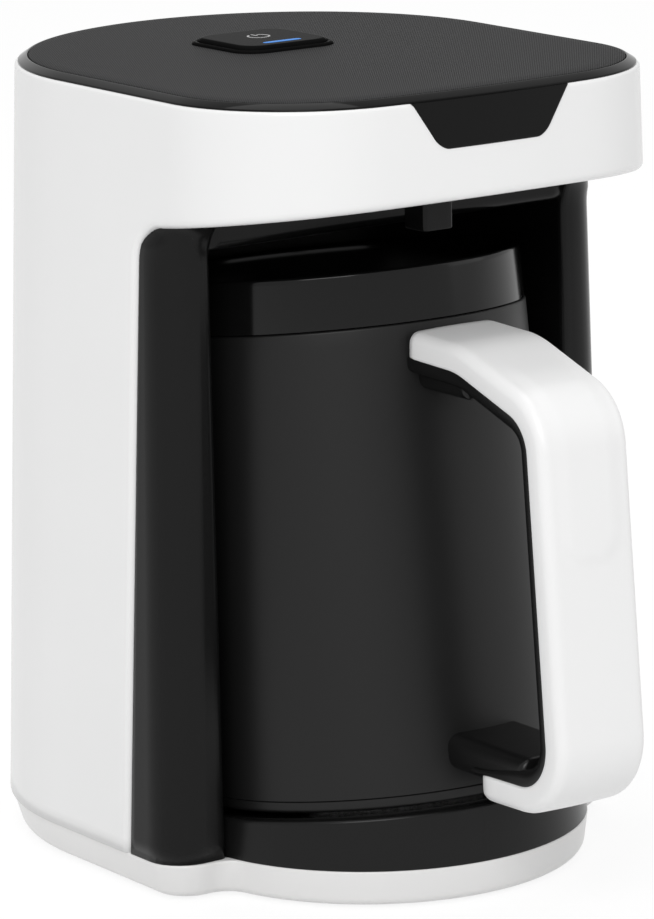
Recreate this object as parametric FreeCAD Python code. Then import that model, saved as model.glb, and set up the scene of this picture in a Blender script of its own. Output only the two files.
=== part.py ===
"""Electric turkish coffee maker with a lift-out pot, as an assembly of separate pieces.

Frame, in millimetres: +X to the right seen from the front, -Y towards the user,
+Z up. x = 0 is the symmetry plane, y = 0 the centre of the plinth's round front,
z = 0 the table. The files are moved so that y = 0 is the middle of the whole depth.
Three bodies: the machine, the start button and the pot.
"""
import FreeCAD, Part
import math
import os
from FreeCAD import Vector

# Plan of the housing, at the top edge of the white shell
HALF_WIDTH = 75.2
FRONT_Y = -62.0
FRONT_BULGE_R = 350.0
FRONT_CORNER_R = 45.0
REAR_CENTRE_Y = 42.2
REAR_LEAN = 0.0337
WALL_DRAFT = math.radians(1.3)

# Heights
PLINTH_BOTTOM_Z = 0.8
PLINTH_TOP_Z = 11.4
# The head's lower edge rises towards the front; this is its height at y = -10
HEAD_BOTTOM_Z = 193.1
HEAD_BOTTOM_SLOPE = 0.1336
FRAME_PLATE_Z = 225.5
SHELL_TOP_Z = 228.2
PANEL_TOP_Z = 230.3
BUTTON_TOP_Z = 232.2

# Walls
SHELL_WALL = 2.4
LINER_WALL = 2.2
FLUSH_STEP = 0.7

# Side panels and black columns, in the side view
PANEL_EDGE_FOOT_Y = 9.9
PANEL_EDGE_TOP_Y = 1.2
OPENING_CORNER_R = 11.0
COLUMN_FRONT_Y = -12.4
COLUMN_TOP_Z = 196.5
COLUMN_FLARE_R = 14.0
COLUMN_CORNER_R = 11.0

# Niche for the pot
NICHE_HALF_WIDTH = 60.5
NICHE_FOOT_CENTRE_Y = 2.0
NICHE_TOP_CENTRE_Y = 22.0
LOW_CEILING_Z = 186.0
HIGH_CEILING_Z = 201.5
CEILING_STEP_Y = -12.0
CEILING_REAR_Y = 88.0
DECK_REAR_Y = 66.0

# Plinth and pot tray
PLINTH_CENTRE_Y = 0.5
PLINTH_FRONT_R = 61.5
PLINTH_HALF_WIDTH = 79.6
PLINTH_REAR_Y = 49.4
PLINTH_LOBE_Y = -13.5
PLINTH_TUCK = 3.2
PLINTH_FRONT_TUCK = 1.4
PLINTH_FILLET_R = 8.0
PLINTH_CORNER_R = 12.0
PLINTH_FLOOR = 3.2
TRAY_FOOT_R = 61.3
TRAY_RIM_R = 60.0
TRAY_RIM_Z = 21.3
TRAY_RIM_TILT = math.radians(6.0)
TRAY_RECESS_R = 57.4
TRAY_FLOOR_DROP = 2.0

# Pot, in its own upright frame: z = 0 is the face that stands on the hot plate
POT_TILT_DEG = 7.0
POT_BASE_Y = -2.5
POT_BASE_Z = 22.7
POT_FOOT_R = 55.0
POT_SEAM_R = 53.8
POT_SEAM_Z = 134.8
COLLAR_FOOT_R = 53.6
COLLAR_TOP_R = 53.4
POT_HEIGHT = 150.3
JACKET_WALL = 2.2
BOWL_R = 47.0
BOWL_WALL = 0.8
COLLAR_SHELF_Z = 137.0
SPOUT_REACH = 5.0
SPOUT_HALF_WIDTH = 9.0
SPOUT_DEPTH = 13.0

# Handle, in the side view of the whole machine
HANDLE_HALF_WIDTH = 13.5
HANDLE_SHELL_THICK = 7.6
HANDLE_LINING_THICK = 4.6
# Centre line of the white shell as (y, z) corners, and the radii at its inner corners
HANDLE_CORNERS = [(-36.0, 157.3), (-63.0, 156.6), (-97.3, 145.4), (-106.2, 37.6), (-66.0, 36.6)]
HANDLE_RADII = [30.0, 15.0, 17.0]

# Start button
BUTTON_Y = 49.0
BUTTON_HALF = 15.0
BUTTON_CORNER_R = 8.0
BEZEL_MARGIN = 1.9
BUTTON_CLEARANCE = 0.3
BUTTON_TRAVEL = 1.5
STEM_R = 2.8
STEM_FOOT_Z = 220.4
CAP_SKIRT_Z = 228.4
LIGHT_BAR = (13.0, 2.2)
LIGHT_BAR_FORWARD = 10.0

# Badge-shaped drop of the black top frame over the front, left bare
DROP_TOP_HALF = 26.5
DROP_BOTTOM_HALF = 17.6
DROP_BOTTOM_Z = 214.8
DROP_PROUD = 0.35

# Hot plate
PLATE_R = 38.0
PLATE_THICK = 3.0
PLATE_GAP = 0.05

# Level sensor under the head
SENSOR_Y = -31.0
SENSOR_HALF = 5.0

# Mains inlet gland at the back
GLAND_Z = 24.0
GLAND_BORE_R = 3.6
GLAND_NECK_HALF = 5.2
GLAND_FLANGE_R = 8.0
GLAND_OUTER_Y = 132.5
GLAND_INNER_Y = 117.9
CLAMP_Y = 107.6
CLAMP_THICK = 6.0

# Control board in the head
BOARD_Z = 209.0
BOARD_SIZE = (84.0, 66.0, 1.6)
BOARD_CENTRE_Y = 40.0

# Wires, as corner points that the tubes round off
HARNESS_X = 20.0
HARNESS_R = 2.2
HARNESS_ROUTE = [(HARNESS_X, 67.0, 201.0), (HARNESS_X, 67.0, 193.5), (HARNESS_X, 80.0, 192.6),
                 (HARNESS_X, 95.0, 189.0), (HARNESS_X, 99.5, 168.0), (HARNESS_X, 98.0, 132.0),
                 (HARNESS_X, 99.0, 92.0), (HARNESS_X, 97.0, 54.0), (HARNESS_X, 95.0, 26.0),
                 (HARNESS_X, 82.0, 10.5), (HARNESS_X, 62.0, 7.8), (HARNESS_X, 42.0, 7.8)]
LEAD_R = 2.6
LEAD_ROUTE = [(0.0, CLAMP_Y, 24.0), (0.0, 96.0, 24.0), (-5.0, 86.0, 14.5), (-13.0, 75.0, 8.0), (-13.0, 62.0, 8.0)]

SCREW_R = 1.4
SCREW_HEAD_R = 2.8
SCREW_HEAD_H = 1.8
FOOT_R = 7.5
FOOT_PLACES = [(36.0, -26.0), (-36.0, -26.0), (50.0, 84.0), (-50.0, 84.0)]
BASE_SCREW_PLACES = [(68.0, 8.0), (-68.0, 8.0), (38.0, 92.0), (-38.0, 92.0)]

# Middle of the whole depth, from the handle to the gland: it is y = 0 in the files
DEPTH_MIDDLE_Y = 11.15

X_AXIS = Vector(1, 0, 0)
Y_AXIS = Vector(0, 1, 0)
Z_AXIS = Vector(0, 0, 1)
BIG = 400.0


def line(a, b):
    """A straight edge between two points."""
    return Part.LineSegment(Vector(*a), Vector(*b)).toShape()


def arc(a, middle, b):
    """A circular edge through three points."""
    return Part.Arc(Vector(*a), Vector(*middle), Vector(*b)).toShape()


def cylinder(radius, z0, z1, x=0.0, y=0.0):
    """An upright cylinder between two heights."""
    return Part.makeCylinder(radius, z1 - z0, Vector(x, y, z0))


def ring(outer, inner, z0, z1, x=0.0, y=0.0):
    """An upright tube between two heights."""
    return cylinder(outer, z0, z1, x, y).cut(cylinder(inner, z0 - 1, z1 + 1, x, y))


def box(x0, x1, y0, y1, z0, z1):
    """A box given by its limits."""
    return Part.makeBox(x1 - x0, y1 - y0, z1 - z0, Vector(x0, y0, z0))


def fuse(shapes):
    """One solid from touching or overlapping shapes, with seams between them removed."""
    return shapes[0].multiFuse(shapes[1:]).removeSplitter()


def biggest(shape):
    """The largest solid of a shape, which leaves slivers out."""
    return max(shape.Solids, key=lambda s: s.Volume)


def soften(shape, radius, wanted):
    """Round the edges that a test picks, or return the shape unchanged where that fails."""
    edges = [e for e in shape.Edges if wanted(e)]
    for size in (radius, radius * 0.7, radius * 0.4):
        try:
            rounded = shape.makeFillet(size, edges)
        except Part.OCCError:
            continue
        if rounded.isValid() and len(rounded.Solids) == len(shape.Solids):
            return rounded
    print("not rounded, radius", radius, "edges", len(edges))
    return shape


def draft_at(z):
    """How far the drafted walls stand outside the top outline at a height."""
    return (SHELL_TOP_Z - z) * math.tan(WALL_DRAFT)


def rear_y(z):
    """The centre of the round back, which moves back towards the foot."""
    return REAR_CENTRE_Y + REAR_LEAN * (SHELL_TOP_Z - z)


def outline(z, offset=0.0):
    """The housing's plan at a height: bulged front, round corners, straight sides, round back."""
    grow = draft_at(z) + offset
    back_y = rear_y(z)
    front_centre = FRONT_Y + FRONT_BULGE_R
    corner_x = HALF_WIDTH - FRONT_CORNER_R
    reach = FRONT_BULGE_R - FRONT_CORNER_R
    corner_y = front_centre - math.sqrt(reach ** 2 - corner_x ** 2)
    turn = math.asin(corner_x / reach)
    big, small, rear = FRONT_BULGE_R + grow, FRONT_CORNER_R + grow, HALF_WIDTH + grow
    side = HALF_WIDTH + grow
    join = (big * math.sin(turn), front_centre - big * math.cos(turn))
    half = (math.pi / 2 + turn) / 2
    middle = (corner_x + small * math.sin(half), corner_y - small * math.cos(half))
    edges = [arc((-join[0], join[1], z), (0, front_centre - big, z), (join[0], join[1], z)),
             arc((join[0], join[1], z), (middle[0], middle[1], z), (side, corner_y, z)),
             line((side, corner_y, z), (side, back_y, z)),
             arc((side, back_y, z), (0, back_y + rear, z), (-side, back_y, z)),
             line((-side, back_y, z), (-side, corner_y, z)),
             arc((-side, corner_y, z), (-middle[0], middle[1], z), (-join[0], join[1], z))]
    return Part.Wire(edges)


def housing(z0, z1, offset=0.0, top_offset=None):
    """The drafted solid of the housing's plan between two heights."""
    top = offset if top_offset is None else top_offset
    return Part.makeLoft([outline(z0, offset), outline(z1, top)], True, True)


def side_prism(edges):
    """A prism across the whole width from a closed side view of edges."""
    face = Part.Face(Part.Wire(edges))
    return face.extrude(Vector(2 * BIG, 0, 0))


def panel_edge_y(z):
    """Where the white side panels end at the front, at a height."""
    return PANEL_EDGE_FOOT_Y + (PANEL_EDGE_TOP_Y - PANEL_EDGE_FOOT_Y) * z / HEAD_BOTTOM_Z


def head_bottom(y):
    """The height of the head's lower edge, which rises towards the front."""
    return HEAD_BOTTOM_Z - HEAD_BOTTOM_SLOPE * (y + 10.0)


def open_air(foot_y, corner_y, radius):
    """The space in front of a sloping line and under the head, with its round upper corner."""
    x = -BIG
    corners = [(foot_y, -5.0), (corner_y, head_bottom(corner_y)), (-BIG, head_bottom(-BIG))]
    edges, start, end = rounded_line(corners, [radius], x)
    return side_prism(edges + [line(tuple(end), (x, -BIG, -5.0)), line((x, -BIG, -5.0), tuple(start))])


def opening_cutter():
    """The space in front of the side panels and under the head."""
    return open_air(panel_edge_y(-5.0), panel_edge_y(HEAD_BOTTOM_Z - 1.5), OPENING_CORNER_R)


def behind_columns(inset=0.0):
    """Everything behind the column fronts, which flare forward under the head."""
    x, r, y = -BIG, COLUMN_FLARE_R, COLUMN_FRONT_Y + inset
    top = COLUMN_TOP_Z
    start = top - r
    bow = r * (1 - math.sqrt(0.5))
    return side_prism([line((x, BIG, -5), (x, y, -5)),
                       line((x, y, -5), (x, y, start)),
                       arc((x, y, start), (x, y - bow, start + r * math.sqrt(0.5)), (x, y - r, top)),
                       line((x, y - r, top), (x, BIG, top)),
                       line((x, BIG, top), (x, BIG, -5))])


def niche_plan(z, centre_y, grow):
    """The pot niche's plan at a height: open to the front, with a half-round back."""
    r = NICHE_HALF_WIDTH + grow
    return Part.Wire([line((-r, -BIG, z), (r, -BIG, z)), line((r, -BIG, z), (r, centre_y, z)),
                      arc((r, centre_y, z), (0, centre_y + r, z), (-r, centre_y, z)),
                      line((-r, centre_y, z), (-r, -BIG, z))])


def niche(z0, z1, grow=0.0):
    """The pot niche as a solid, leaning back with the pot."""
    slope = (NICHE_TOP_CENTRE_Y - NICHE_FOOT_CENTRE_Y) / (LOW_CEILING_Z - PLINTH_TOP_Z)
    ends = [(z, NICHE_FOOT_CENTRE_Y + slope * (z - PLINTH_TOP_Z)) for z in (z0, z1)]
    return Part.makeLoft([niche_plan(z, y, grow) for z, y in ends], True, True)


def drop_prism():
    """The trapezoid over the front, seen from the front, as a prism through the front wall."""
    y = FRONT_Y - 20
    corners = [(-DROP_TOP_HALF, SHELL_TOP_Z), (-DROP_BOTTOM_HALF, DROP_BOTTOM_Z),
               (DROP_BOTTOM_HALF, DROP_BOTTOM_Z), (DROP_TOP_HALF, SHELL_TOP_Z)]
    points = [Vector(px, y, pz) for px, pz in corners]
    prism = Part.Face(Part.makePolygon(points + points[:1])).extrude(Vector(0, 50, 0))
    return soften(prism, 3.0, lambda e: abs(e.tangentAt(e.FirstParameter).y) > 0.99
                  and e.CenterOfMass.z < DROP_BOTTOM_Z + 1)


def body_shell():
    """White outer shell: the head ring and the side and rear wall, with the open front."""
    shell = housing(PLINTH_TOP_Z, SHELL_TOP_Z).cut(
        housing(PLINTH_TOP_Z - 1, SHELL_TOP_Z + 1, -SHELL_WALL))
    shell = shell.cut(opening_cutter()).cut(drop_prism())
    shell = biggest(shell.cut(gland_neck(100.0, 140.0)))

    def front_rim(edge):
        """The outer edges of the open front."""
        box_ = edge.BoundBox
        spot = edge.valueAt((edge.FirstParameter + edge.LastParameter) / 2)
        lip = housing(max(spot.z - 1, PLINTH_TOP_Z), spot.z + 1, -0.6)
        outside = not lip.isInside(spot, 0.01, True)
        return (outside and box_.ZMax <= head_bottom(FRONT_Y) + 0.5 and box_.ZMax > PLINTH_TOP_Z + 1
                and box_.YMin < PANEL_EDGE_FOOT_Y)

    return soften(shell, 1.5, front_rim)


def niche_liner():
    """Black liner: the two columns, the niche wall, the ceiling and the deck round the tray."""
    lower = PLINTH_TOP_Z
    behind = behind_columns()
    cavity = niche(lower - 1, HIGH_CEILING_Z + 1)

    def column_corner(edge):
        """The outer front edge of each column."""
        spot = edge.valueAt((edge.FirstParameter + edge.LastParameter) / 2)
        wide = HALF_WIDTH + draft_at(spot.z) - FLUSH_STEP
        return (edge.BoundBox.ZLength > 5 and abs(abs(spot.x) - wide) < 1.0
                and spot.y < COLUMN_FRONT_Y + 0.1)

    block = housing(lower, COLUMN_TOP_Z, -FLUSH_STEP).common(behind)
    block = soften(block, COLUMN_CORNER_R, column_corner)
    hollow = housing(lower, COLUMN_TOP_Z, -FLUSH_STEP - LINER_WALL).common(behind_columns(LINER_WALL))
    columns = block.cut(hollow).common(opening_cutter()).cut(cavity)
    tongue = housing(lower, HEAD_BOTTOM_Z, -SHELL_WALL - 0.1).cut(
        housing(lower, HEAD_BOTTOM_Z, -SHELL_WALL - 0.1 - LINER_WALL))
    tongue = tongue.common(behind_columns(COLUMN_CORNER_R)).cut(box(-BIG, BIG, 20, BIG, -5, BIG))
    wall_zone = housing(lower, LOW_CEILING_Z, -SHELL_WALL - 0.1).common(behind)
    wall = niche(lower, LOW_CEILING_Z, LINER_WALL).common(wall_zone).cut(cavity)
    inside = housing(lower, HIGH_CEILING_Z + LINER_WALL, -SHELL_WALL - 0.1)
    rear_cut = box(-BIG, BIG, CEILING_REAR_Y, BIG, -5, BIG)
    low = inside.common(box(-BIG, BIG, CEILING_STEP_Y, BIG, LOW_CEILING_Z, LOW_CEILING_Z + LINER_WALL))
    low = low.cut(rear_cut)
    riser = inside.common(box(-BIG, BIG, CEILING_STEP_Y, CEILING_STEP_Y + LINER_WALL,
                              LOW_CEILING_Z, HIGH_CEILING_Z + LINER_WALL))
    high = inside.common(box(-BIG, BIG, -BIG, CEILING_STEP_Y + LINER_WALL,
                             HIGH_CEILING_Z, HIGH_CEILING_Z + LINER_WALL))
    sides = inside.cut(housing(lower, HIGH_CEILING_Z + LINER_WALL, -SHELL_WALL - 0.1 - LINER_WALL))
    sides = sides.common(box(-BIG, BIG, -BIG, 20, LOW_CEILING_Z, HIGH_CEILING_Z + 1))
    sides = sides.cut(open_air(COLUMN_FRONT_Y, COLUMN_FRONT_Y, COLUMN_FLARE_R))
    deck = housing(lower, lower + LINER_WALL, -SHELL_WALL - 0.1).common(behind)
    deck = deck.cut(box(-BIG, BIG, DECK_REAR_Y, BIG, -5, BIG))
    deck = deck.cut(cylinder(TRAY_FOOT_R + 0.2, 0, 40, 0, PLINTH_CENTRE_Y))
    liner = fuse([wall, columns, tongue, low, riser, high, sides, deck])
    liner = liner.cut(cylinder(TRAY_FOOT_R + 0.2, 0, TRAY_RIM_Z + 7, 0, PLINTH_CENTRE_Y))
    for x, y in BASE_SCREW_PLACES:
        liner = liner.cut(cylinder(SCREW_R, 0, 30, x, y))
    liner = liner.cut(box(-SENSOR_HALF, SENSOR_HALF, SENSOR_Y - SENSOR_HALF, SENSOR_Y + SENSOR_HALF,
                          HIGH_CEILING_Z - 1, HIGH_CEILING_Z + 5))
    return biggest(liner)


def sensor_housing():
    """Small black hood under the head that holds the level sensor."""
    h = SENSOR_HALF
    hood = box(-h, h, SENSOR_Y - h, SENSOR_Y + h, LOW_CEILING_Z + 1, HIGH_CEILING_Z + 4)
    hood = hood.cut(box(-h + 1.2, h - 1.2, SENSOR_Y - h + 1.2, SENSOR_Y + h - 1.2,
                        LOW_CEILING_Z + 2.2, HIGH_CEILING_Z + 5))
    return hood.cut(cylinder(2.2, LOW_CEILING_Z, LOW_CEILING_Z + 4, 0, SENSOR_Y))


def sensor_window():
    """Dark lens in the hood's floor."""
    return cylinder(2.2, LOW_CEILING_Z + 0.7, LOW_CEILING_Z + 2.2, 0, SENSOR_Y)


def level_sensor():
    """Sensor can on its leads, inside the hood."""
    can = cylinder(3.0, LOW_CEILING_Z + 2.4, LOW_CEILING_Z + 7, 0, SENSOR_Y)
    leads = [cylinder(0.3, LOW_CEILING_Z + 7, HIGH_CEILING_Z + 3, x, SENSOR_Y) for x in (-1.2, 1.2)]
    return fuse([can] + leads)


def plinth_plan(z, tuck, grow=0.0):
    """The plinth's plan: a round front, two lobes with concave fillets, and a round back."""
    front_r = PLINTH_FRONT_R - tuck * PLINTH_FRONT_TUCK / PLINTH_TUCK + grow
    side = PLINTH_HALF_WIDTH - tuck + grow
    lobe_y = PLINTH_LOBE_Y + tuck - grow
    fillet = PLINTH_FILLET_R - grow
    corner = PLINTH_CORNER_R - tuck / 2 + grow
    cy = lobe_y - fillet - PLINTH_CENTRE_Y
    cx = math.sqrt((front_r + fillet) ** 2 - cy ** 2)
    share = front_r / (front_r + fillet)
    touch = (cx * share, PLINTH_CENTRE_Y + cy * share)
    a0, a1 = math.atan2(-cy, -cx), math.pi / 2
    mid = (a0 + a1) / 2
    bend = (cx + fillet * math.cos(mid), PLINTH_CENTRE_Y + cy + fillet * math.sin(mid))
    diag = corner * (1 - math.sqrt(0.5))
    right = [arc((touch[0], touch[1], z), (bend[0], bend[1], z), (cx, lobe_y, z)),
             line((cx, lobe_y, z), (side - corner, lobe_y, z)),
             arc((side - corner, lobe_y, z), (side - diag, lobe_y + diag, z), (side, lobe_y + corner, z)),
             line((side, lobe_y + corner, z), (side, PLINTH_REAR_Y, z))]
    left = [e.mirror(Vector(0, 0, 0), X_AXIS) for e in right]
    front = arc((-touch[0], touch[1], z), (0, PLINTH_CENTRE_Y - front_r, z), (touch[0], touch[1], z))
    back = arc((side, PLINTH_REAR_Y, z), (0, PLINTH_REAR_Y + side, z), (-side, PLINTH_REAR_Y, z))
    return Part.Wire(Part.__sortEdges__([front] + right + [back] + left))


def base_plinth():
    """White plinth: an open-topped pan with a floor, foot pockets and screw holes."""
    outer = Part.makeLoft([plinth_plan(PLINTH_BOTTOM_Z, PLINTH_TUCK), plinth_plan(PLINTH_TOP_Z, 0.0)],
                          True, True)
    inner = Part.makeLoft([plinth_plan(PLINTH_BOTTOM_Z + PLINTH_FLOOR, PLINTH_TUCK, -2.6),
                           plinth_plan(PLINTH_TOP_Z + 1, 0.0, -2.6)], True, True)
    pan = outer.cut(inner)
    for x, y in FOOT_PLACES:
        pan = pan.cut(cylinder(FOOT_R, 0, PLINTH_BOTTOM_Z + 2.0, x, y))
    for x, y in BASE_SCREW_PLACES:
        pan = pan.cut(cylinder(SCREW_HEAD_R + 0.3, 0, PLINTH_BOTTOM_Z + 2.0, x, y))
        pan = pan.cut(cylinder(SCREW_R + 0.3, 0, 20, x, y))
    return soften(biggest(pan), 1.2, lambda e: e.BoundBox.ZMax < PLINTH_BOTTOM_Z + 0.01
                  and e.BoundBox.DiagonalLength > 20)


def rubber_feet():
    """Four rubber feet in their pockets."""
    return Part.makeCompound([cylinder(FOOT_R - 0.1, 0, PLINTH_BOTTOM_Z + 2.0, x, y)
                              for x, y in FOOT_PLACES])


def screw(x, y, head_z, tip_z):
    """One screw with a pan head below its shank, or above it when the tip is lower."""
    sign = 1 if tip_z > head_z else -1
    low, high = sorted((head_z, head_z + sign * SCREW_HEAD_H))
    shank = sorted((head_z + sign * SCREW_HEAD_H, tip_z))
    slot = box(x - 1.6, x + 1.6, y - 0.3, y + 0.3, head_z - 0.6, head_z + 0.6)
    return fuse([cylinder(SCREW_HEAD_R, low, high, x, y), cylinder(SCREW_R, *shank, x, y)]).cut(slot)


def base_screws():
    """Four screws through the plinth's floor into the bosses."""
    return Part.makeCompound([screw(x, y, PLINTH_BOTTOM_Z + 0.2, 20.0) for x, y in BASE_SCREW_PLACES])


def screw_bosses():
    """Four black posts that take the base screws and carry the liner and shell."""
    posts = []
    for x, y in BASE_SCREW_PLACES:
        top = PLINTH_TOP_Z if y < DECK_REAR_Y else 24.0
        posts.append(ring(4.2, SCREW_R, PLINTH_BOTTOM_Z + PLINTH_FLOOR, top, x, y))
    return Part.makeCompound(posts)


def half_space_above(tilt, y, z):
    """Everything above a plane that slopes up towards the front through one point."""
    block = box(-BIG, BIG, -BIG, BIG, 0, BIG)
    block.rotate(Vector(0, 0, 0), X_AXIS, -math.degrees(tilt))
    block.translate(Vector(0, y, z))
    return block


def pot_plane(drop):
    """Everything above the pot's standing plane, lowered by a drop."""
    tilt = math.radians(POT_TILT_DEG)
    return half_space_above(tilt, POT_BASE_Y - drop * math.sin(tilt), POT_BASE_Z - drop * math.cos(tilt))


def place_pot(shape):
    """Lean a shape from the pot's upright frame back onto the hot plate."""
    moved = shape.copy()
    moved.rotate(Vector(0, 0, 0), X_AXIS, -POT_TILT_DEG)
    moved.translate(Vector(0, POT_BASE_Y, POT_BASE_Z))
    return moved


def pot_tray():
    """Black tray in front, with a sloping rim and a sunk floor round the hot plate."""
    height = TRAY_RIM_Z + 10 - PLINTH_TOP_Z
    body = Part.makeCone(TRAY_FOOT_R, TRAY_RIM_R - 0.3, height, Vector(0, PLINTH_CENTRE_Y, PLINTH_TOP_Z))
    body = body.cut(half_space_above(TRAY_RIM_TILT, PLINTH_CENTRE_Y, TRAY_RIM_Z))
    body = soften(body, 1.1, lambda e: e.BoundBox.ZMax > PLINTH_TOP_Z + 5 and len(e.Vertexes) == 1)
    recess = cylinder(TRAY_RECESS_R, 0, 60, 0, PLINTH_CENTRE_Y).common(pot_plane(TRAY_FLOOR_DROP))
    under = cylinder(TRAY_FOOT_R - 3.4, 0, 60, 0, PLINTH_CENTRE_Y).cut(pot_plane(TRAY_FLOOR_DROP + 2.0))
    hole = place_pot(cylinder(PLATE_R + 0.8, -20, 20))
    return biggest(body.cut(recess).cut(under).cut(hole))


def plate_seal():
    """Rubber ring between the hot plate and the tray."""
    return place_pot(ring(PLATE_R + 0.8, PLATE_R, -TRAY_FLOOR_DROP - 1.8, -TRAY_FLOOR_DROP + 0.4))


def heating_plate():
    """Steel disc that the pot stands on."""
    disc = cylinder(PLATE_R, -PLATE_GAP - PLATE_THICK, -PLATE_GAP)
    return place_pot(soften(disc, 0.6, lambda e: e.BoundBox.ZMin > -0.1 and len(e.Vertexes) == 1))


def heating_element():
    """Tubular heater ring under the plate, broken at the back for its two ends."""
    top = -PLATE_GAP - PLATE_THICK
    heater = ring(30.0, 23.0, top - 3.0, top).cut(box(-5, 5, 0, 60, -20, 20))
    ends = [cylinder(1.2, top - 5.5, top - 3.0, side * 8.5, 24.6) for side in (-1, 1)]
    return place_pot(fuse([heater] + ends))


def thermostat():
    """Bimetal thermostat in a clip cup under the middle of the plate."""
    top = -PLATE_GAP - PLATE_THICK
    can = cylinder(8.0, top - 5.0, top)
    tabs = [box(x - 0.4, x + 0.4, -2, 2, top - 8, top - 5) for x in (-5, 5)]
    return place_pot(fuse([can] + tabs))


def thermal_fuse():
    """One-shot fuse in its sleeve, held against the plate beside the thermostat."""
    top = -PLATE_GAP - PLATE_THICK
    return place_pot(Part.makeCylinder(1.8, 18, Vector(-9, -12, top - 1.9), X_AXIS))


def element_cover():
    """Steel cover under the heater that keeps its heat off the plinth."""
    top = -PLATE_GAP - PLATE_THICK - 3.2
    cover = ring(33.0, 17.0, top - 0.6, top).cut(box(-14, 14, 18, 60, -20, 20))
    return place_pot(cover)


def top_frame():
    """Gloss black frame of the top: vertical band, bevel, carrier plate and the bare front drop."""
    spigot = housing(FRAME_PLATE_Z - 4, FRAME_PLATE_Z, -SHELL_WALL - 0.1).cut(
        housing(FRAME_PLATE_Z - 5, FRAME_PLATE_Z + 1, -SHELL_WALL - 2.2))
    plate = housing(FRAME_PLATE_Z, SHELL_TOP_Z, -SHELL_WALL - 0.1)
    band = housing(SHELL_TOP_Z, SHELL_TOP_Z + 0.5, -0.9)
    bevel = housing(SHELL_TOP_Z + 0.5, PANEL_TOP_Z - 0.2, -0.9, -3.7)
    pocket = housing(PANEL_TOP_Z - 2.0, PANEL_TOP_Z + 1, -3.9)
    frame = fuse([spigot, plate, band, bevel]).cut(pocket)
    drop = housing(DROP_BOTTOM_Z - 2, SHELL_TOP_Z, DROP_PROUD).cut(
        housing(DROP_BOTTOM_Z - 3, SHELL_TOP_Z + 1, -SHELL_WALL)).common(drop_prism())
    frame = fuse([frame, drop])
    frame = frame.cut(rounded_square(BUTTON_HALF + BEZEL_MARGIN, BUTTON_CORNER_R, 220, 240))
    posts = [ring(3.2, SCREW_R, BOARD_Z + BOARD_SIZE[2], FRAME_PLATE_Z, x, y) for x, y in board_corners()]
    return biggest(fuse([frame] + posts))


def rounded_square(half, corner, z0, z1):
    """A square with round corners, about the button's centre."""
    block = box(-half, half, BUTTON_Y - half, BUTTON_Y + half, z0, z1)
    return block.makeFillet(corner, [e for e in block.Edges if e.BoundBox.ZLength > 0.5])


def top_panel():
    """Textured dark panel let into the frame."""
    panel = housing(PANEL_TOP_Z - 2.0, PANEL_TOP_Z - 0.3, -3.9, -3.9).fuse(
        housing(PANEL_TOP_Z - 0.3, PANEL_TOP_Z, -3.9, -4.2)).removeSplitter()
    return panel.cut(rounded_square(BUTTON_HALF + BEZEL_MARGIN, BUTTON_CORNER_R, 220, 240))


def button_bezel():
    """Gloss cup in the panel that guides the start button."""
    outer = rounded_square(BUTTON_HALF + BEZEL_MARGIN, BUTTON_CORNER_R, FRAME_PLATE_Z - 0.6, PANEL_TOP_Z + 0.9)
    outer = soften(outer, 0.8, lambda e: e.BoundBox.ZMin > PANEL_TOP_Z + 0.8)
    well = rounded_square(BUTTON_HALF + BUTTON_CLEARANCE, BUTTON_CORNER_R - 1.6, FRAME_PLATE_Z + 0.6, 240)
    guide = ring(5.4, STEM_R + 0.05, FRAME_PLATE_Z - 3.4, FRAME_PLATE_Z + 0.6, 0, BUTTON_Y)
    hole = cylinder(STEM_R + 0.05, 200, 240, 0, BUTTON_Y)
    return fuse([outer.cut(well), guide]).cut(hole)


def button_cap():
    """Gloss start button: a softly edged cap with a skirt and a guide stem."""
    cap = rounded_square(BUTTON_HALF, BUTTON_CORNER_R - 2.0, CAP_SKIRT_Z, BUTTON_TOP_Z)
    cap = soften(cap, 0.9, lambda e: e.BoundBox.ZMin > BUTTON_TOP_Z - 0.1)
    hollow = rounded_square(BUTTON_HALF - 1.4, BUTTON_CORNER_R - 3.4, CAP_SKIRT_Z - 1, BUTTON_TOP_Z - 1.3)
    stem = cylinder(STEM_R, STEM_FOOT_Z, BUTTON_TOP_Z - 1.3, 0, BUTTON_Y)
    return fuse([cap.cut(hollow), stem]).cut(light_bar_block(BUTTON_TOP_Z - 1.3, BUTTON_TOP_Z + 1))


def light_bar_block(z0, z1):
    """The status bar's plan, near the button's front edge, between two heights."""
    length, width = LIGHT_BAR
    y = BUTTON_Y - LIGHT_BAR_FORWARD
    block = box(-length / 2, length / 2, y - width / 2, y + width / 2, z0, z1)
    return block.makeFillet(width * 0.45, [e for e in block.Edges if e.BoundBox.ZLength > 0.5])


def button_light_bar():
    """Clear blue status bar let into the button."""
    return light_bar_block(BUTTON_TOP_Z - 1.3, BUTTON_TOP_Z + 0.05)


def button_icon():
    """Raised power mark: an open ring and a short stroke."""
    y, z = BUTTON_Y + 2.0, BUTTON_TOP_Z
    mark = ring(3.4, 2.9, z, z + 0.08, 0, y).cut(box(-1.3, 1.3, y, y + 5, z - 1, z + 1))
    return Part.makeCompound([mark, box(-0.25, 0.25, y + 0.6, y + 3.9, z, z + 0.08)])


def button_spring():
    """Coil spring between the bezel's floor and the cap."""
    wire, radius, turns = 0.35, 7.0, 3.0
    low, high = FRAME_PLATE_Z + 0.6 + wire, BUTTON_TOP_Z - 1.3 - wire
    helix = Part.makeHelix((high - low) / turns, high - low, radius)
    section = Part.Wire(Part.makeCircle(wire, Vector(radius, 0, 0), Y_AXIS))
    coil = Part.Wire(helix).makePipeShell([section], True, True)
    coil.translate(Vector(0, BUTTON_Y, low))
    return Part.Solid(Part.Shell(coil.Faces)) if not coil.Solids else coil


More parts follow.
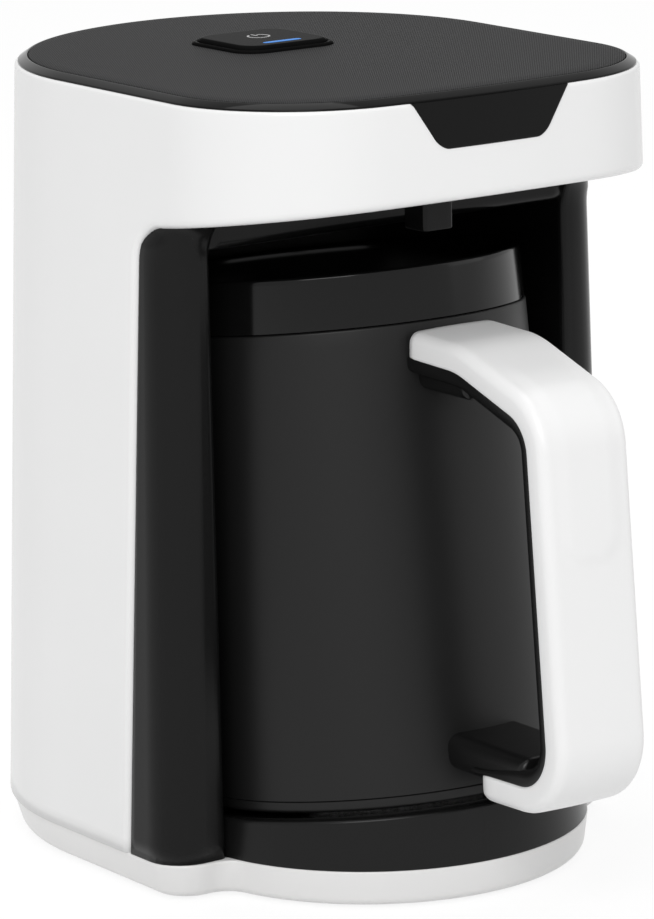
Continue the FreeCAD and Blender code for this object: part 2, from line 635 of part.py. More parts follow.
def board_corners():
    """The four board posts' places."""
    dx, dy = BOARD_SIZE[0] / 2 - 4.5, BOARD_SIZE[1] / 2 - 4.5
    return [(sx * dx, BOARD_CENTRE_Y + sy * dy) for sx in (-1, 1) for sy in (-1, 1)]


def on_board(x, y, length, width, height):
    """A block that stands on the control board, given by its middle."""
    z = BOARD_Z + BOARD_SIZE[2]
    return box(x - length / 2, x + length / 2, y - width / 2, y + width / 2, z, z + height)


def control_board():
    """Circuit board hung from the top frame."""
    length, width, thick = BOARD_SIZE
    board = box(-length / 2, length / 2, BOARD_CENTRE_Y - width / 2, BOARD_CENTRE_Y + width / 2,
                BOARD_Z, BOARD_Z + thick)
    for x, y in board_corners():
        board = board.cut(cylinder(SCREW_R + 0.2, BOARD_Z - 1, BOARD_Z + 5, x, y))
    return board


def board_screws():
    """Four screws from below through the board into the frame's posts."""
    return Part.makeCompound([screw(x, y, BOARD_Z - SCREW_HEAD_H, BOARD_Z + 9) for x, y in board_corners()])


def button_switch():
    """Tactile switch under the button's stem."""
    body = on_board(0, BUTTON_Y, 12, 12, 4.0)
    top = BOARD_Z + BOARD_SIZE[2] + 4.0
    return fuse([body, cylinder(3.0, top, STEM_FOOT_Z - BUTTON_TRAVEL - 0.1, 0, BUTTON_Y)])


def indicator_led():
    """Light-emitting diode under the status bar."""
    z, y = BOARD_Z + BOARD_SIZE[2], BUTTON_Y - LIGHT_BAR_FORWARD
    dome = Part.makeSphere(2.4, Vector(0, y, z + 6.0))
    return fuse([cylinder(2.4, z, z + 6.0, 0, y), cylinder(2.9, z, z + 1.0, 0, y), dome])


def mains_relay():
    """Relay that switches the heater."""
    return on_board(-26, 26, 19, 15.5, 11.0)


def smoothing_capacitor():
    """Capacitor of the small power supply."""
    return cylinder(5.0, BOARD_Z + BOARD_SIZE[2], BOARD_Z + BOARD_SIZE[2] + 11.5, 27, 24)


def supply_inductor():
    """Wound inductor of the small power supply."""
    return ring(6.0, 2.0, BOARD_Z + BOARD_SIZE[2], BOARD_Z + BOARD_SIZE[2] + 8.0, 28, 42)


def buzzer():
    """Piezo buzzer with its sound hole."""
    z = BOARD_Z + BOARD_SIZE[2]
    return cylinder(6.0, z, z + 7.5, -26, 54).cut(cylinder(1.0, z + 5, z + 9, -26, 54))


def board_terminal():
    """Plug-in terminal at the board's back edge, where the harness ends."""
    return box(HARNESS_X - 9, HARNESS_X + 9, 62, 72, BOARD_Z - 8.0, BOARD_Z)


def tube_along(points, radius):
    """A round tube on straight runs joined by arcs that touch both runs."""
    spots = [Vector(*p) for p in points]
    edges, start, radii = [], spots[0], []
    for before, corner, after in zip(spots, spots[1:], spots[2:]):
        u, v = (before - corner), (after - corner)
        reach = 0.45 * min(u.Length, v.Length)
        u.normalize()
        v.normalize()
        turn = math.pi - u.getAngle(v)
        r = reach / math.tan(turn / 2)
        radii.append(round(r, 1))
        p, q = corner + u * reach, corner + v * reach
        inward = u + v
        inward.normalize()
        middle = corner + inward * (math.hypot(r, reach) - r)
        if (p - start).Length > 1e-6:
            edges.append(Part.LineSegment(start, p).toShape())
        edges.append(Part.Arc(p, middle, q).toShape())
        start = q
    edges.append(Part.LineSegment(start, spots[-1]).toShape())
    path = Part.Wire(edges)
    section = Part.Wire(Part.makeCircle(radius, spots[0], spots[1] - spots[0]))
    tube = path.makePipeShell([section], True, False)
    print("tube radii", radii, "volume share", round(tube.Volume / (math.pi * radius ** 2 * path.Length), 4))
    return tube


def wire_harness():
    """Sleeved wires from the board down the back to the heater."""
    return tube_along(HARNESS_ROUTE, HARNESS_R)


def heater_terminal():
    """Ceramic terminal on the plinth's floor where the harness meets the heater."""
    return box(HARNESS_X - 7, HARNESS_X + 7, 30, 42, PLINTH_BOTTOM_Z + PLINTH_FLOOR, 11.0)


def mains_lead():
    """Inner end of the mains lead, from the gland's clamp down to its terminal."""
    return tube_along(LEAD_ROUTE, LEAD_R)


def mains_terminal():
    """Terminal block on the plinth's floor for the mains lead."""
    return box(-23, -3, 50, 62, PLINTH_BOTTOM_Z + PLINTH_FLOOR, 11.0)


def gland_neck(y0, y1):
    """The gland's square neck, which can't turn in the wall, as a bar with round edges."""
    half = GLAND_NECK_HALF
    bar = box(-half, half, y0, y1, GLAND_Z - half, GLAND_Z + half)
    return bar.makeFillet(1.5, [e for e in bar.Edges if e.BoundBox.YLength > 1])


def cord_gland():
    """Black inlet gland in the back wall, where the mains cord would enter."""
    start = GLAND_INNER_Y + 4.0
    flange = Part.makeCylinder(GLAND_FLANGE_R, GLAND_OUTER_Y - start, Vector(0, start, GLAND_Z), Y_AXIS)
    flange = flange.cut(housing(PLINTH_TOP_Z, 60))
    neck = gland_neck(GLAND_INNER_Y, GLAND_OUTER_Y)
    bore = Part.makeCylinder(GLAND_BORE_R, 60, Vector(0, 90, GLAND_Z), Y_AXIS)
    gland = fuse([flange, neck]).cut(bore)
    return soften(biggest(gland), 0.8, lambda e: e.BoundBox.YMin > GLAND_OUTER_Y - 0.1
                  and e.BoundBox.XLength > 2 * GLAND_FLANGE_R - 1)


def cord_clamp():
    """Post on the plinth's floor that grips the mains lead behind the gland."""
    post = box(-9, 9, CLAMP_Y, CLAMP_Y + CLAMP_THICK, PLINTH_BOTTOM_Z + PLINTH_FLOOR, GLAND_Z + 1.0)
    groove = Part.makeCylinder(GLAND_BORE_R, 60, Vector(0, 80, GLAND_Z), Y_AXIS)
    holes = [cylinder(SCREW_R, 0, 60, x, CLAMP_Y + CLAMP_THICK / 2) for x in (-6.3, 6.3)]
    return post.cut(groove).cut(holes[0]).cut(holes[1])


def clamp_bar():
    """Bar that presses the mains lead into the post."""
    bar = box(-9, 9, CLAMP_Y, CLAMP_Y + CLAMP_THICK, GLAND_Z + 1.0, GLAND_Z + 6.5)
    groove = Part.makeCylinder(GLAND_BORE_R, 60, Vector(0, 80, GLAND_Z), Y_AXIS)
    holes = [cylinder(SCREW_R + 0.2, 0, 60, x, CLAMP_Y + CLAMP_THICK / 2) for x in (-6.3, 6.3)]
    return bar.cut(groove).cut(holes[0]).cut(holes[1])


def clamp_screws():
    """Two screws that draw the clamp bar down."""
    return Part.makeCompound([screw(x, CLAMP_Y + CLAMP_THICK / 2, GLAND_Z + 6.5 + SCREW_HEAD_H, GLAND_Z - 8)
                              for x in (-6.3, 6.3)])


def pot_base_ring():
    """Black foot ring of the pot, round its steel base."""
    foot = Part.makeCone(POT_FOOT_R - 0.8, POT_FOOT_R, 0.8).fuse(cylinder(POT_FOOT_R, 0.8, 3.4))
    return place_pot(foot.removeSplitter().cut(cylinder(41.0, -1, 5)).cut(cylinder(BOWL_R + 1.0, 2.6, 5)))


def pot_base_plate():
    """Steel plate bonded under the bowl, which stands on the hot plate."""
    return place_pot(cylinder(41.0, 0, 2.6))


def cone_shell(r0, r1, z0, z1, wall):
    """A tapered tube with an even wall."""
    outer = Part.makeCone(r0, r1, z1 - z0, Vector(0, 0, z0))
    inner = Part.makeCone(r0 - wall, r1 - wall, z1 - z0, Vector(0, 0, z0))
    return outer.cut(inner)


def pot_jacket():
    """Satin black outer wall of the pot."""
    jacket = cone_shell(POT_FOOT_R, POT_SEAM_R, 3.4, POT_SEAM_Z, JACKET_WALL)
    jacket = soften(jacket, 0.5, lambda e: e.BoundBox.ZMin > POT_SEAM_Z - 0.1
                    and e.BoundBox.XLength > 2 * POT_SEAM_R - 1)
    return place_pot(jacket)


def pot_bowl():
    """Steel bowl that holds the coffee."""
    outer = cylinder(BOWL_R, 2.6, COLLAR_SHELF_Z)
    outer = soften(outer, 8.0, lambda e: e.BoundBox.ZMax < 3 and len(e.Vertexes) == 1)
    inner = cylinder(BOWL_R - BOWL_WALL, 2.6 + BOWL_WALL, POT_HEIGHT)
    inner = soften(inner, 7.2, lambda e: e.BoundBox.ZMax < 4 and len(e.Vertexes) == 1)
    return place_pot(outer.cut(inner))


def spout_block(grow=0.0):
    """The wedge of one pouring lip on +X: widest at the rim and running out below it."""
    top, reach = POT_HEIGHT + (1 if grow < 0 else 0), COLLAR_TOP_R + SPOUT_REACH + grow
    low = POT_HEIGHT - SPOUT_DEPTH - grow
    half, root = SPOUT_HALF_WIDTH + grow, 44.0
    points = [Vector(root, -half, top), Vector(reach, 0, top), Vector(root, half, top)]
    nose = Vector(root + 2, 0, low)
    faces = [Part.Face(Part.makePolygon(points + points[:1]))]
    for a, b in zip(points, points[1:] + points[:1]):
        faces.append(Part.Face(Part.makePolygon([a, b, nose, a])))
    return Part.Solid(Part.Shell(faces))


def pot_collar():
    """Gloss black collar with a pouring lip on each side, left and right."""
    collar = cone_shell(COLLAR_FOOT_R, COLLAR_TOP_R, POT_SEAM_Z, POT_HEIGHT, 3.0)
    shelf = ring(COLLAR_TOP_R - 1.5, BOWL_R, COLLAR_SHELF_Z - 1.2, COLLAR_SHELF_Z)
    body = fuse([collar, shelf])
    hollow = cylinder(COLLAR_TOP_R - 3.0, POT_SEAM_Z - 1, POT_HEIGHT + 1)
    for side in (0, 180):
        lip = spout_block()
        lip.rotate(Vector(0, 0, 0), Z_AXIS, side)
        gap = spout_block(-2.0)
        gap.rotate(Vector(0, 0, 0), Z_AXIS, side)
        body = body.fuse(lip.cut(hollow)).cut(gap)
    return place_pot(biggest(body.removeSplitter()))


def pot_seal():
    """Soft ring between the collar's shelf and the bowl's rim."""
    return place_pot(ring(BOWL_R + 1.6, BOWL_R, COLLAR_SHELF_Z - 3.8, COLLAR_SHELF_Z - 1.2))


def offset_corners(corners, distance):
    """Corner points of a line moved sideways by a distance, to the left of its direction."""
    moved = []
    dirs = []
    for (y0, z0), (y1, z1) in zip(corners, corners[1:]):
        length = math.hypot(y1 - y0, z1 - z0)
        dirs.append(((y1 - y0) / length, (z1 - z0) / length))
    for i, (y, z) in enumerate(corners):
        before = dirs[max(i - 1, 0)]
        after = dirs[min(i, len(dirs) - 1)]
        normal = (-(before[1] + after[1]), before[0] + after[0])
        size = math.hypot(*normal)
        cosine = (-before[1] * normal[0] + before[0] * normal[1]) / size
        step = distance / cosine
        moved.append((y + step * normal[0] / size, z + step * normal[1] / size))
    return moved


def rounded_line(corners, radii, x):
    """Edges through the corners, with an arc of its radius at each inner corner."""
    spots = [Vector(x, y, z) for y, z in corners]
    edges, start = [], spots[0]
    for before, corner, after, r in zip(spots, spots[1:], spots[2:], radii):
        u, v = (before - corner).normalize(), (after - corner).normalize()
        turn = math.pi - u.getAngle(v)
        reach = r * math.tan(turn / 2)
        p, q = corner + u * reach, corner + v * reach
        middle = corner + (u + v).normalize() * (math.hypot(r, reach) - r)
        edges.append(Part.LineSegment(start, p).toShape())
        edges.append(Part.Arc(p, middle, q).toShape())
        start = q
    edges.append(Part.LineSegment(start, spots[-1]).toShape())
    return edges, spots[0], spots[-1]


def handle_band(outside, inside, half_width):
    """A band along the handle between two distances from its centre line."""
    path = HANDLE_CORNERS
    x = -half_width
    near, n0, n1 = rounded_line(offset_corners(path, inside), [r - inside for r in HANDLE_RADII], x)
    far, f0, f1 = rounded_line(offset_corners(path, outside), [r - outside for r in HANDLE_RADII], x)
    caps = [Part.LineSegment(n0, f0).toShape(), Part.LineSegment(n1, f1).toShape()]
    wire = Part.Wire(Part.__sortEdges__(near + far + caps))
    return Part.Face(wire).extrude(Vector(2 * half_width, 0, 0))


def handle_shell():
    """White handle shell, with its round outer edges and the thin tongue at the bottom."""
    half = HANDLE_SHELL_THICK / 2
    band = handle_band(-half, half, HANDLE_HALF_WIDTH)
    band = band.cut(jacket_zone(0.6))
    outer = handle_band(-half, -half + 0.4, HANDLE_HALF_WIDTH + 1)

    def outer_edge(edge):
        """Long edges on the outer face of the handle."""
        spot = edge.valueAt((edge.FirstParameter + edge.LastParameter) / 2)
        on_side = abs(abs(spot.x) - HANDLE_HALF_WIDTH) < 0.01 and edge.BoundBox.XLength < 0.01
        return on_side and outer.isInside(spot, 0.01, True)

    return soften(biggest(band), 3.4, outer_edge)


def handle_lining():
    """Black inner lining of the handle with its upper and lower lugs on the pot."""
    half = HANDLE_SHELL_THICK / 2
    band = handle_band(half, half + HANDLE_LINING_THICK, HANDLE_HALF_WIDTH - 0.8)
    upper = box(-11, 11, -60, -30, 143.5, 152.4)
    upper = upper.makeFillet(3.5, [e for e in upper.Edges if e.BoundBox.YLength > 20])
    lower = box(-14, 14, -80, -40, 41.2, 56.5)
    lower = lower.makeFillet(6.0, [e for e in lower.Edges if e.BoundBox.YLength > 20])
    wedge = side_prism([line((-BIG, -40, 41.2), (-BIG, -81, 41.2)), line((-BIG, -81, 41.2), (-BIG, -81, 43.2)),
                        line((-BIG, -81, 43.2), (-BIG, -66, 56.6)), line((-BIG, -66, 56.6), (-BIG, -40, 56.6)),
                        line((-BIG, -40, 56.6), (-BIG, -40, 41.2))])
    lower = lower.common(wedge)
    body = fuse([band, upper, lower])
    return biggest(body.cut(handle_band(-half - 9, half, HANDLE_HALF_WIDTH + 5)).cut(jacket_zone(0.0)))


def jacket_zone(grow):
    """The pot's outer cone as a solid, grown by a margin, over its whole height."""
    slope = (POT_SEAM_R - POT_FOOT_R) / (POT_SEAM_Z - 3.4)
    base, top = -10.0, POT_HEIGHT + 40
    r0 = POT_FOOT_R + slope * (base - 3.4) + grow
    r1 = POT_FOOT_R + slope * (top - 3.4) + grow
    return place_pot(Part.makeCone(r0, r1, top - base, Vector(0, 0, base)))


def handle_screws():
    """Two screws from inside the jacket into the lugs."""
    screws = []
    for z_local in (24.0, 126.0):
        axis = Vector(0, -1, 0)
        inner = POT_FOOT_R - JACKET_WALL - 1.6
        screws.append(Part.makeCylinder(3.2, 1.2, Vector(0, -inner + 1.2, z_local), axis))
    return place_pot(Part.makeCompound(screws))


NODES = {
    "body_shell": body_shell, "niche_liner": niche_liner, "base_plinth": base_plinth,
    "pot_tray": pot_tray, "plate_seal": plate_seal, "heating_plate": heating_plate,
    "heating_element": heating_element, "element_cover": element_cover, "thermostat": thermostat,
    "thermal_fuse": thermal_fuse, "top_frame": top_frame, "top_panel": top_panel,
    "button_bezel": button_bezel, "button_cap": button_cap, "button_light_bar": button_light_bar,
    "button_icon": button_icon, "button_spring": button_spring, "button_switch": button_switch,
    "indicator_led": indicator_led, "control_board": control_board, "board_screws": board_screws,
    "mains_relay": mains_relay, "smoothing_capacitor": smoothing_capacitor,
    "supply_inductor": supply_inductor, "buzzer": buzzer, "board_terminal": board_terminal,
    "wire_harness": wire_harness, "heater_terminal": heater_terminal, "mains_lead": mains_lead,
    "mains_terminal": mains_terminal, "cord_gland": cord_gland, "cord_clamp": cord_clamp,
    "clamp_bar": clamp_bar, "clamp_screws": clamp_screws, "sensor_housing": sensor_housing,
    "sensor_window": sensor_window, "level_sensor": level_sensor, "rubber_feet": rubber_feet,
    "base_screws": base_screws, "screw_bosses": screw_bosses, "pot_base_ring": pot_base_ring,
    "pot_base_plate": pot_base_plate, "pot_jacket": pot_jacket, "pot_bowl": pot_bowl,
    "pot_collar": pot_collar, "pot_seal": pot_seal, "handle_shell": handle_shell,
    "handle_lining": handle_lining, "handle_screws": handle_screws,
}


def main():
    """Build every node and write one STEP file for each."""
    os.makedirs("parts", exist_ok=True)
    for name, make in NODES.items():
        shape = make()
        shape.translate(Vector(0, -DEPTH_MIDDLE_Y, 0))
        box_ = shape.BoundBox
        print(f"{name:20s} solids {len(shape.Solids)} valid {shape.isValid()} vol {shape.Volume / 1000:8.2f}"
              f" x {box_.XMin:.1f}..{box_.XMax:.1f} y {box_.YMin:.1f}..{box_.YMax:.1f}"
              f" z {box_.ZMin:.1f}..{box_.ZMax:.1f}")
        shape.exportStep(f"parts/{name}.step")


main()
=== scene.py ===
"""Electric turkish coffee maker: finished surfaces, materials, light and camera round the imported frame.

Shapes are worked out in millimetres in the maker's own side view: +X to the right seen
from the front, -Y towards the user, +Z up, y = 0 at the centre of the round front of the
plinth. shape_to_row turns them into metres in the row frame.
"""
import logging
import math
from dataclasses import dataclass
from enum import Enum
from typing import Iterable, Optional, Sequence

import bmesh
import bpy
import numpy as np
from mathutils import Matrix, Vector


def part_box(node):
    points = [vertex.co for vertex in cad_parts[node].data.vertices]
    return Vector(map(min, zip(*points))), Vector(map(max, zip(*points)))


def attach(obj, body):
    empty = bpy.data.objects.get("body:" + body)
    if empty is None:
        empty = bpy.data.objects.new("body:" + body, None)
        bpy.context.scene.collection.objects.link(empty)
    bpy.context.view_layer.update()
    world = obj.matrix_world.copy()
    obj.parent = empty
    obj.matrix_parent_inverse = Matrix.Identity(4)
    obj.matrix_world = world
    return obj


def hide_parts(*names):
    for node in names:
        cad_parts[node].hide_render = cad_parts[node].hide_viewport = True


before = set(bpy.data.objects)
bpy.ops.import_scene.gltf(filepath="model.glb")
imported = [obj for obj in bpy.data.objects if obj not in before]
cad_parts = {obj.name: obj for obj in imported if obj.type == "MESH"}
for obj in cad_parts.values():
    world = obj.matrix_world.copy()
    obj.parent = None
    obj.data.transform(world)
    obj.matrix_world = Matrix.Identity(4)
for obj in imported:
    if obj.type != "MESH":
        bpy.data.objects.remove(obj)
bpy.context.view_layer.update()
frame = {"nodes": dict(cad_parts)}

LOG = logging.getLogger("coffee_maker")
Array = np.ndarray
MM = 0.001
GLAND_BACK_Y = 132.5
ROW_SHIFT_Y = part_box("cord_gland")[1].y / MM - GLAND_BACK_Y
QUARTER = math.pi / 2
FULL = 2 * math.pi
PLINTH_TOP_Z = 11.4


class Body(Enum):
    """The rigid bodies that a piece may ride on."""

    MACHINE = "machine"
    BUTTON = "button"
    POT = "pot"


def shape_to_row(points: Array) -> Array:
    """Turn points of the maker's side view in millimetres into metres in the row frame.

    Args:
        points: Points in millimetres, any shape ending in 3.

    Returns:
        The same points in metres, moved along Y to the middle of the whole depth.
    """
    moved = np.array(points, dtype=float)
    moved[..., 1] += ROW_SHIFT_Y
    return moved * MM


def grid_quads(rows: int, cols: int, wrap_rows: bool, wrap_cols: bool) -> Array:
    """Index the four corners of each cell of a grid of points.

    Args:
        rows: Number of rows of points.
        cols: Number of columns of points.
        wrap_rows: Whether the last row joins the first.
        wrap_cols: Whether the last column joins the first.

    Returns:
        An array of quads, one row of four indices each.
    """
    i = np.arange(rows if wrap_rows else rows - 1)[:, None]
    j = np.arange(cols if wrap_cols else cols - 1)[None, :]
    i2, j2 = (i + 1) % rows, (j + 1) % cols
    corners = [i * cols + j, i * cols + j2, i2 * cols + j2, i2 * cols + j]
    return np.stack(corners, axis=-1).reshape(-1, 4)


def arc_steps(start: float, end: float, count: int) -> Array:
    """Evenly spaced angles or lengths, both ends included."""
    return np.linspace(start, end, count)


def join_profile(*parts: Iterable[Sequence[float]]) -> Array:
    """Stack short lists of profile points into one array."""
    return np.concatenate([np.asarray(part, dtype=float).reshape(-1, 2) for part in parts])


def corner_arc(centre: Sequence[float], radius: float, start: float, end: float, count: int = 7) -> Array:
    """Points on a circular arc of a profile.

    Args:
        centre: The arc's centre, across and up.
        radius: The arc's radius.
        start: First angle in degrees, from the across direction towards up.
        end: Last angle in degrees.
        count: Number of points.

    Returns:
        The points as an array of pairs.
    """
    angle = np.radians(arc_steps(start, end, count))
    return np.stack([centre[0] + radius * np.cos(angle), centre[1] + radius * np.sin(angle)], axis=-1)


def mirror(points: Array, axis: int = 0) -> Array:
    """The same points on the other side of the symmetry plane, in the opposite order along an axis."""
    other = np.flip(points, axis).copy()
    other[..., 0] *= -1
    return other


def at_height(flat: Array, z: float) -> Array:
    """Points of a flat loop of pairs at one height."""
    return np.concatenate([flat, np.full((len(flat), 1), z)], axis=1)


def smooth_step(value: Array, low: float, high: float) -> Array:
    """A smooth rise from 0 at low to 1 at high, as three x squared less two x cubed."""
    share = np.clip((value - low) / (high - low), 0.0, 1.0)
    return share * share * (3 - 2 * share)


class Surface:
    """Collects grids of points and makes one finished piece of them."""

    def __init__(self) -> None:
        """Start with no grids."""
        self._points: list[Array] = []
        self._quads: list[Array] = []
        self._count = 0

    def add(self, grid: Array, wrap_rows: bool = False, wrap_cols: bool = False) -> "Surface":
        """Add one grid of points.

        Args:
            grid: Points in millimetres, as rows by columns by 3.
            wrap_rows: Whether the last row joins the first.
            wrap_cols: Whether the last column joins the first.

        Returns:
            This surface, so that calls can follow one another.
        """
        rows, cols = grid.shape[:2]
        self._quads.append(grid_quads(rows, cols, wrap_rows, wrap_cols) + self._count)
        self._points.append(grid.reshape(-1, 3))
        self._count += rows * cols
        return self

    def piece(self, name: str, wall: float = 0.0, outward_from: Optional[Sequence[float]] = None,
              sharp_deg: float = 38.0) -> bpy.types.Object:
        """Make the mesh: merge doubles, turn faces outwards, round the shading.

        Args:
            name: Name of the piece.
            wall: Wall thickness in millimetres for an open sheet, or 0 for a closed solid.
            outward_from: A point in millimetres that an open sheet's faces point away from.
            sharp_deg: Angle between faces from which an edge shades as sharp.

        Returns:
            The new object, at the origin.
        """
        mesh = bpy.data.meshes.new(name)
        points = shape_to_row(np.concatenate(self._points))
        mesh.from_pydata(points.tolist(), [], np.concatenate(self._quads).tolist())
        work = bmesh.new()
        work.from_mesh(mesh)
        bmesh.ops.remove_doubles(work, verts=work.verts, dist=2e-6)
        bmesh.ops.dissolve_degenerate(work, edges=work.edges, dist=1e-7)
        bmesh.ops.recalc_face_normals(work, faces=work.faces)
        if outward_from is not None:
            middle = Vector(shape_to_row(np.array(outward_from)))
            lean = sum(f.normal.dot(f.calc_center_median() - middle) * f.calc_area() for f in work.faces)
            if lean < 0:
                bmesh.ops.reverse_faces(work, faces=work.faces)
        work.to_mesh(mesh)
        work.free()
        mesh.shade_smooth()
        mesh.set_sharp_from_angle(angle=math.radians(sharp_deg))
        obj = bpy.data.objects.new(name, mesh)
        bpy.context.scene.collection.objects.link(obj)
        if wall:
            thicken = obj.modifiers.new("wall", "SOLIDIFY")
            thicken.thickness = wall * MM
            thicken.offset = -1.0
            thicken.use_even_offset = False
        return obj


class NodeTree:
    """A short hand for wiring a material's nodes."""

    def __init__(self, name: str) -> None:
        """Make a material with its shader and one source of Object coordinates."""
        self.material = bpy.data.materials.new(name)
        self.material.use_nodes = True
        self.nodes = self.material.node_tree.nodes
        self.links = self.material.node_tree.links
        self.shader = self.nodes["Principled BSDF"]
        self.place = self.nodes.new("ShaderNodeTexCoord").outputs["Object"]

    def turned(self, angle_deg: float) -> bpy.types.NodeSocket:
        """Object coordinates turned about the vertical axis."""
        node = self.nodes.new("ShaderNodeMapping")
        node.inputs["Rotation"].default_value = (0.0, 0.0, math.radians(angle_deg))
        self.links.new(self.place, node.inputs["Vector"])
        return node.outputs["Vector"]

    def noise(self, scale: float, detail: float = 3.0) -> bpy.types.NodeSocket:
        """Even grain of a size, in cells per metre."""
        node = self.nodes.new("ShaderNodeTexNoise")
        node.inputs["Scale"].default_value = scale
        node.inputs["Detail"].default_value = detail
        self.links.new(self.place, node.inputs["Vector"])
        return node.outputs["Fac"]

    def waves(self, vector: bpy.types.NodeSocket, scale: float, axis: str) -> bpy.types.NodeSocket:
        """Straight sine ridges along an axis, in ridges per metre."""
        node = self.nodes.new("ShaderNodeTexWave")
        node.bands_direction = axis
        node.inputs["Scale"].default_value = scale
        node.inputs["Distortion"].default_value = 0.0
        self.links.new(vector, node.inputs["Vector"])
        return node.outputs["Fac"]

    def spread(self, value: bpy.types.NodeSocket, low: float, high: float) -> bpy.types.NodeSocket:
        """Stretch a value of 0 to 1 over a range."""
        node = self.nodes.new("ShaderNodeMapRange")
        node.inputs["To Min"].default_value = low
        node.inputs["To Max"].default_value = high
        self.links.new(value, node.inputs["Value"])
        return node.outputs["Result"]

    def blend_colour(self, share: bpy.types.NodeSocket, a: Sequence[float], b: Sequence[float]) -> None:
        """Drive the base colour between two colours by a share."""
        node = self.nodes.new("ShaderNodeMix")
        node.data_type = "RGBA"
        node.inputs["A"].default_value = (*a, 1.0)
        node.inputs["B"].default_value = (*b, 1.0)
        self.links.new(share, node.inputs["Factor"])
        self.links.new(node.outputs["Result"], self.shader.inputs["Base Color"])

    def maths(self, operation: str, a: bpy.types.NodeSocket,
              b: bpy.types.NodeSocket) -> bpy.types.NodeSocket:
        """Join two values with a maths operation."""
        node = self.nodes.new("ShaderNodeMath")
        node.operation = operation
        self.links.new(a, node.inputs[0])
        self.links.new(b, node.inputs[1])
        return node.outputs[0]

    def bump(self, height: bpy.types.NodeSocket, strength: float, depth_mm: float) -> None:
        """Drive the shading normal by a height."""
        node = self.nodes.new("ShaderNodeBump")
        node.inputs["Strength"].default_value = strength
        node.inputs["Distance"].default_value = depth_mm * MM
        self.links.new(height, node.inputs["Height"])
        self.links.new(node.outputs["Normal"], self.shader.inputs["Normal"])

    def set(self, **values: float) -> None:
        """Set shader sockets by name, with spaces written as underscores."""
        for name, value in values.items():
            self.shader.inputs[name.replace("_", " ")].default_value = value


def shade(level: float, tint: Sequence[float] = (1.0, 1.0, 1.0)) -> tuple[float, float, float]:
    """A near grey colour from one linear level and a tint."""
    return tuple(level * part for part in tint)


@dataclass(frozen=True)
class MouldedPlastic:
    """Injection moulded plastic with a fine grain and a slightly uneven gloss."""

    name: str
    level: float
    roughness: float
    specular: float = 0.5
    tint: tuple[float, float, float] = (1.0, 1.0, 1.0)
    grain_per_m: float = 1500.0
    grain_strength: float = 0.05
    gloss_swing: float = 0.06

    def build(self) -> bpy.types.Material:
        """Wire the material: base colour with a faint cloud, roughness swing and grain bump."""
        tree = NodeTree(self.name)
        low, high = shade(self.level * 0.985, self.tint), shade(self.level * 1.015, self.tint)
        tree.blend_colour(tree.noise(22.0, 2.0), low, high)
        swing = tree.spread(tree.noise(130.0, 4.0), self.roughness * (1 - self.gloss_swing),
                            self.roughness * (1 + self.gloss_swing))
        tree.links.new(swing, tree.shader.inputs["Roughness"])
        tree.set(Specular_IOR_Level=self.specular)
        tree.bump(tree.noise(self.grain_per_m, 3.0), self.grain_strength, 0.05)
        return tree.material


@dataclass(frozen=True)
class WovenPanel:
    """Dark panel moulded with fine rows that lie diagonally, like a twill."""

    name: str
    level: float
    rows_per_m: float
    angle_deg: float
    roughness: float = 0.5
    specular: float = 0.01

    def build(self) -> bpy.types.Material:
        """Wire the rows: two crossed sine ridges drive the bump and a colour change that paints shade into
        the grooves and highlight onto the ridges.
        """
        tree = NodeTree(self.name)
        turned = tree.turned(self.angle_deg)
        across = tree.waves(turned, self.rows_per_m, "X")
        along = tree.waves(turned, self.rows_per_m * 0.5, "Y")
        weave_and_painted_shade = tree.maths("MULTIPLY", across, tree.spread(along, 0.55, 1.0))
        # Painted shade and highlight: the colour is darker in the grooves and lighter on the ridges,
        # following the bump's height.
        tree.blend_colour(weave_and_painted_shade, shade(self.level * 0.35), shade(self.level * 1.9, (1.0, 1.0, 1.02)))
        tree.set(Roughness=self.roughness, Specular_IOR_Level=self.specular)
        tree.bump(weave_and_painted_shade, 0.35, 0.12)
        return tree.material


@dataclass(frozen=True)
class TurnedSteel:
    """Bright steel with fine turning marks round the piece's own axis."""

    name: str
    level: float
    roughness: float

    def build(self) -> bpy.types.Material:
        """Wire a metal whose roughness and bump follow fine streaks."""
        tree = NodeTree(self.name)
        streaks = tree.noise(900.0, 6.0)
        tree.blend_colour(streaks, shade(self.level * 0.9), shade(self.level * 1.05))
        tree.links.new(tree.spread(streaks, self.roughness * 0.7, self.roughness * 1.3),
                       tree.shader.inputs["Roughness"])
        tree.set(Metallic=1.0)
        tree.bump(streaks, 0.06, 0.02)
        return tree.material


@dataclass(frozen=True)
class GlowingBar:
    """Blue light guide that glows evenly, over a plastic with a faint cloud."""

    name: str
    colour: tuple[float, float, float]
    strength: float

    def build(self) -> bpy.types.Material:
        """Wire the glow over a dark blue plastic with next to no gloss."""
        tree = NodeTree(self.name)
        cloud = tree.noise(260.0, 2.0)
        tree.blend_colour(cloud, (0.02, 0.05, 0.10), (0.03, 0.07, 0.14))
        tree.shader.inputs["Emission Color"].default_value = (*self.colour, 1.0)
        tree.set(Emission_Strength=self.strength, Roughness=0.25, Specular_IOR_Level=0.01)
        return tree.material


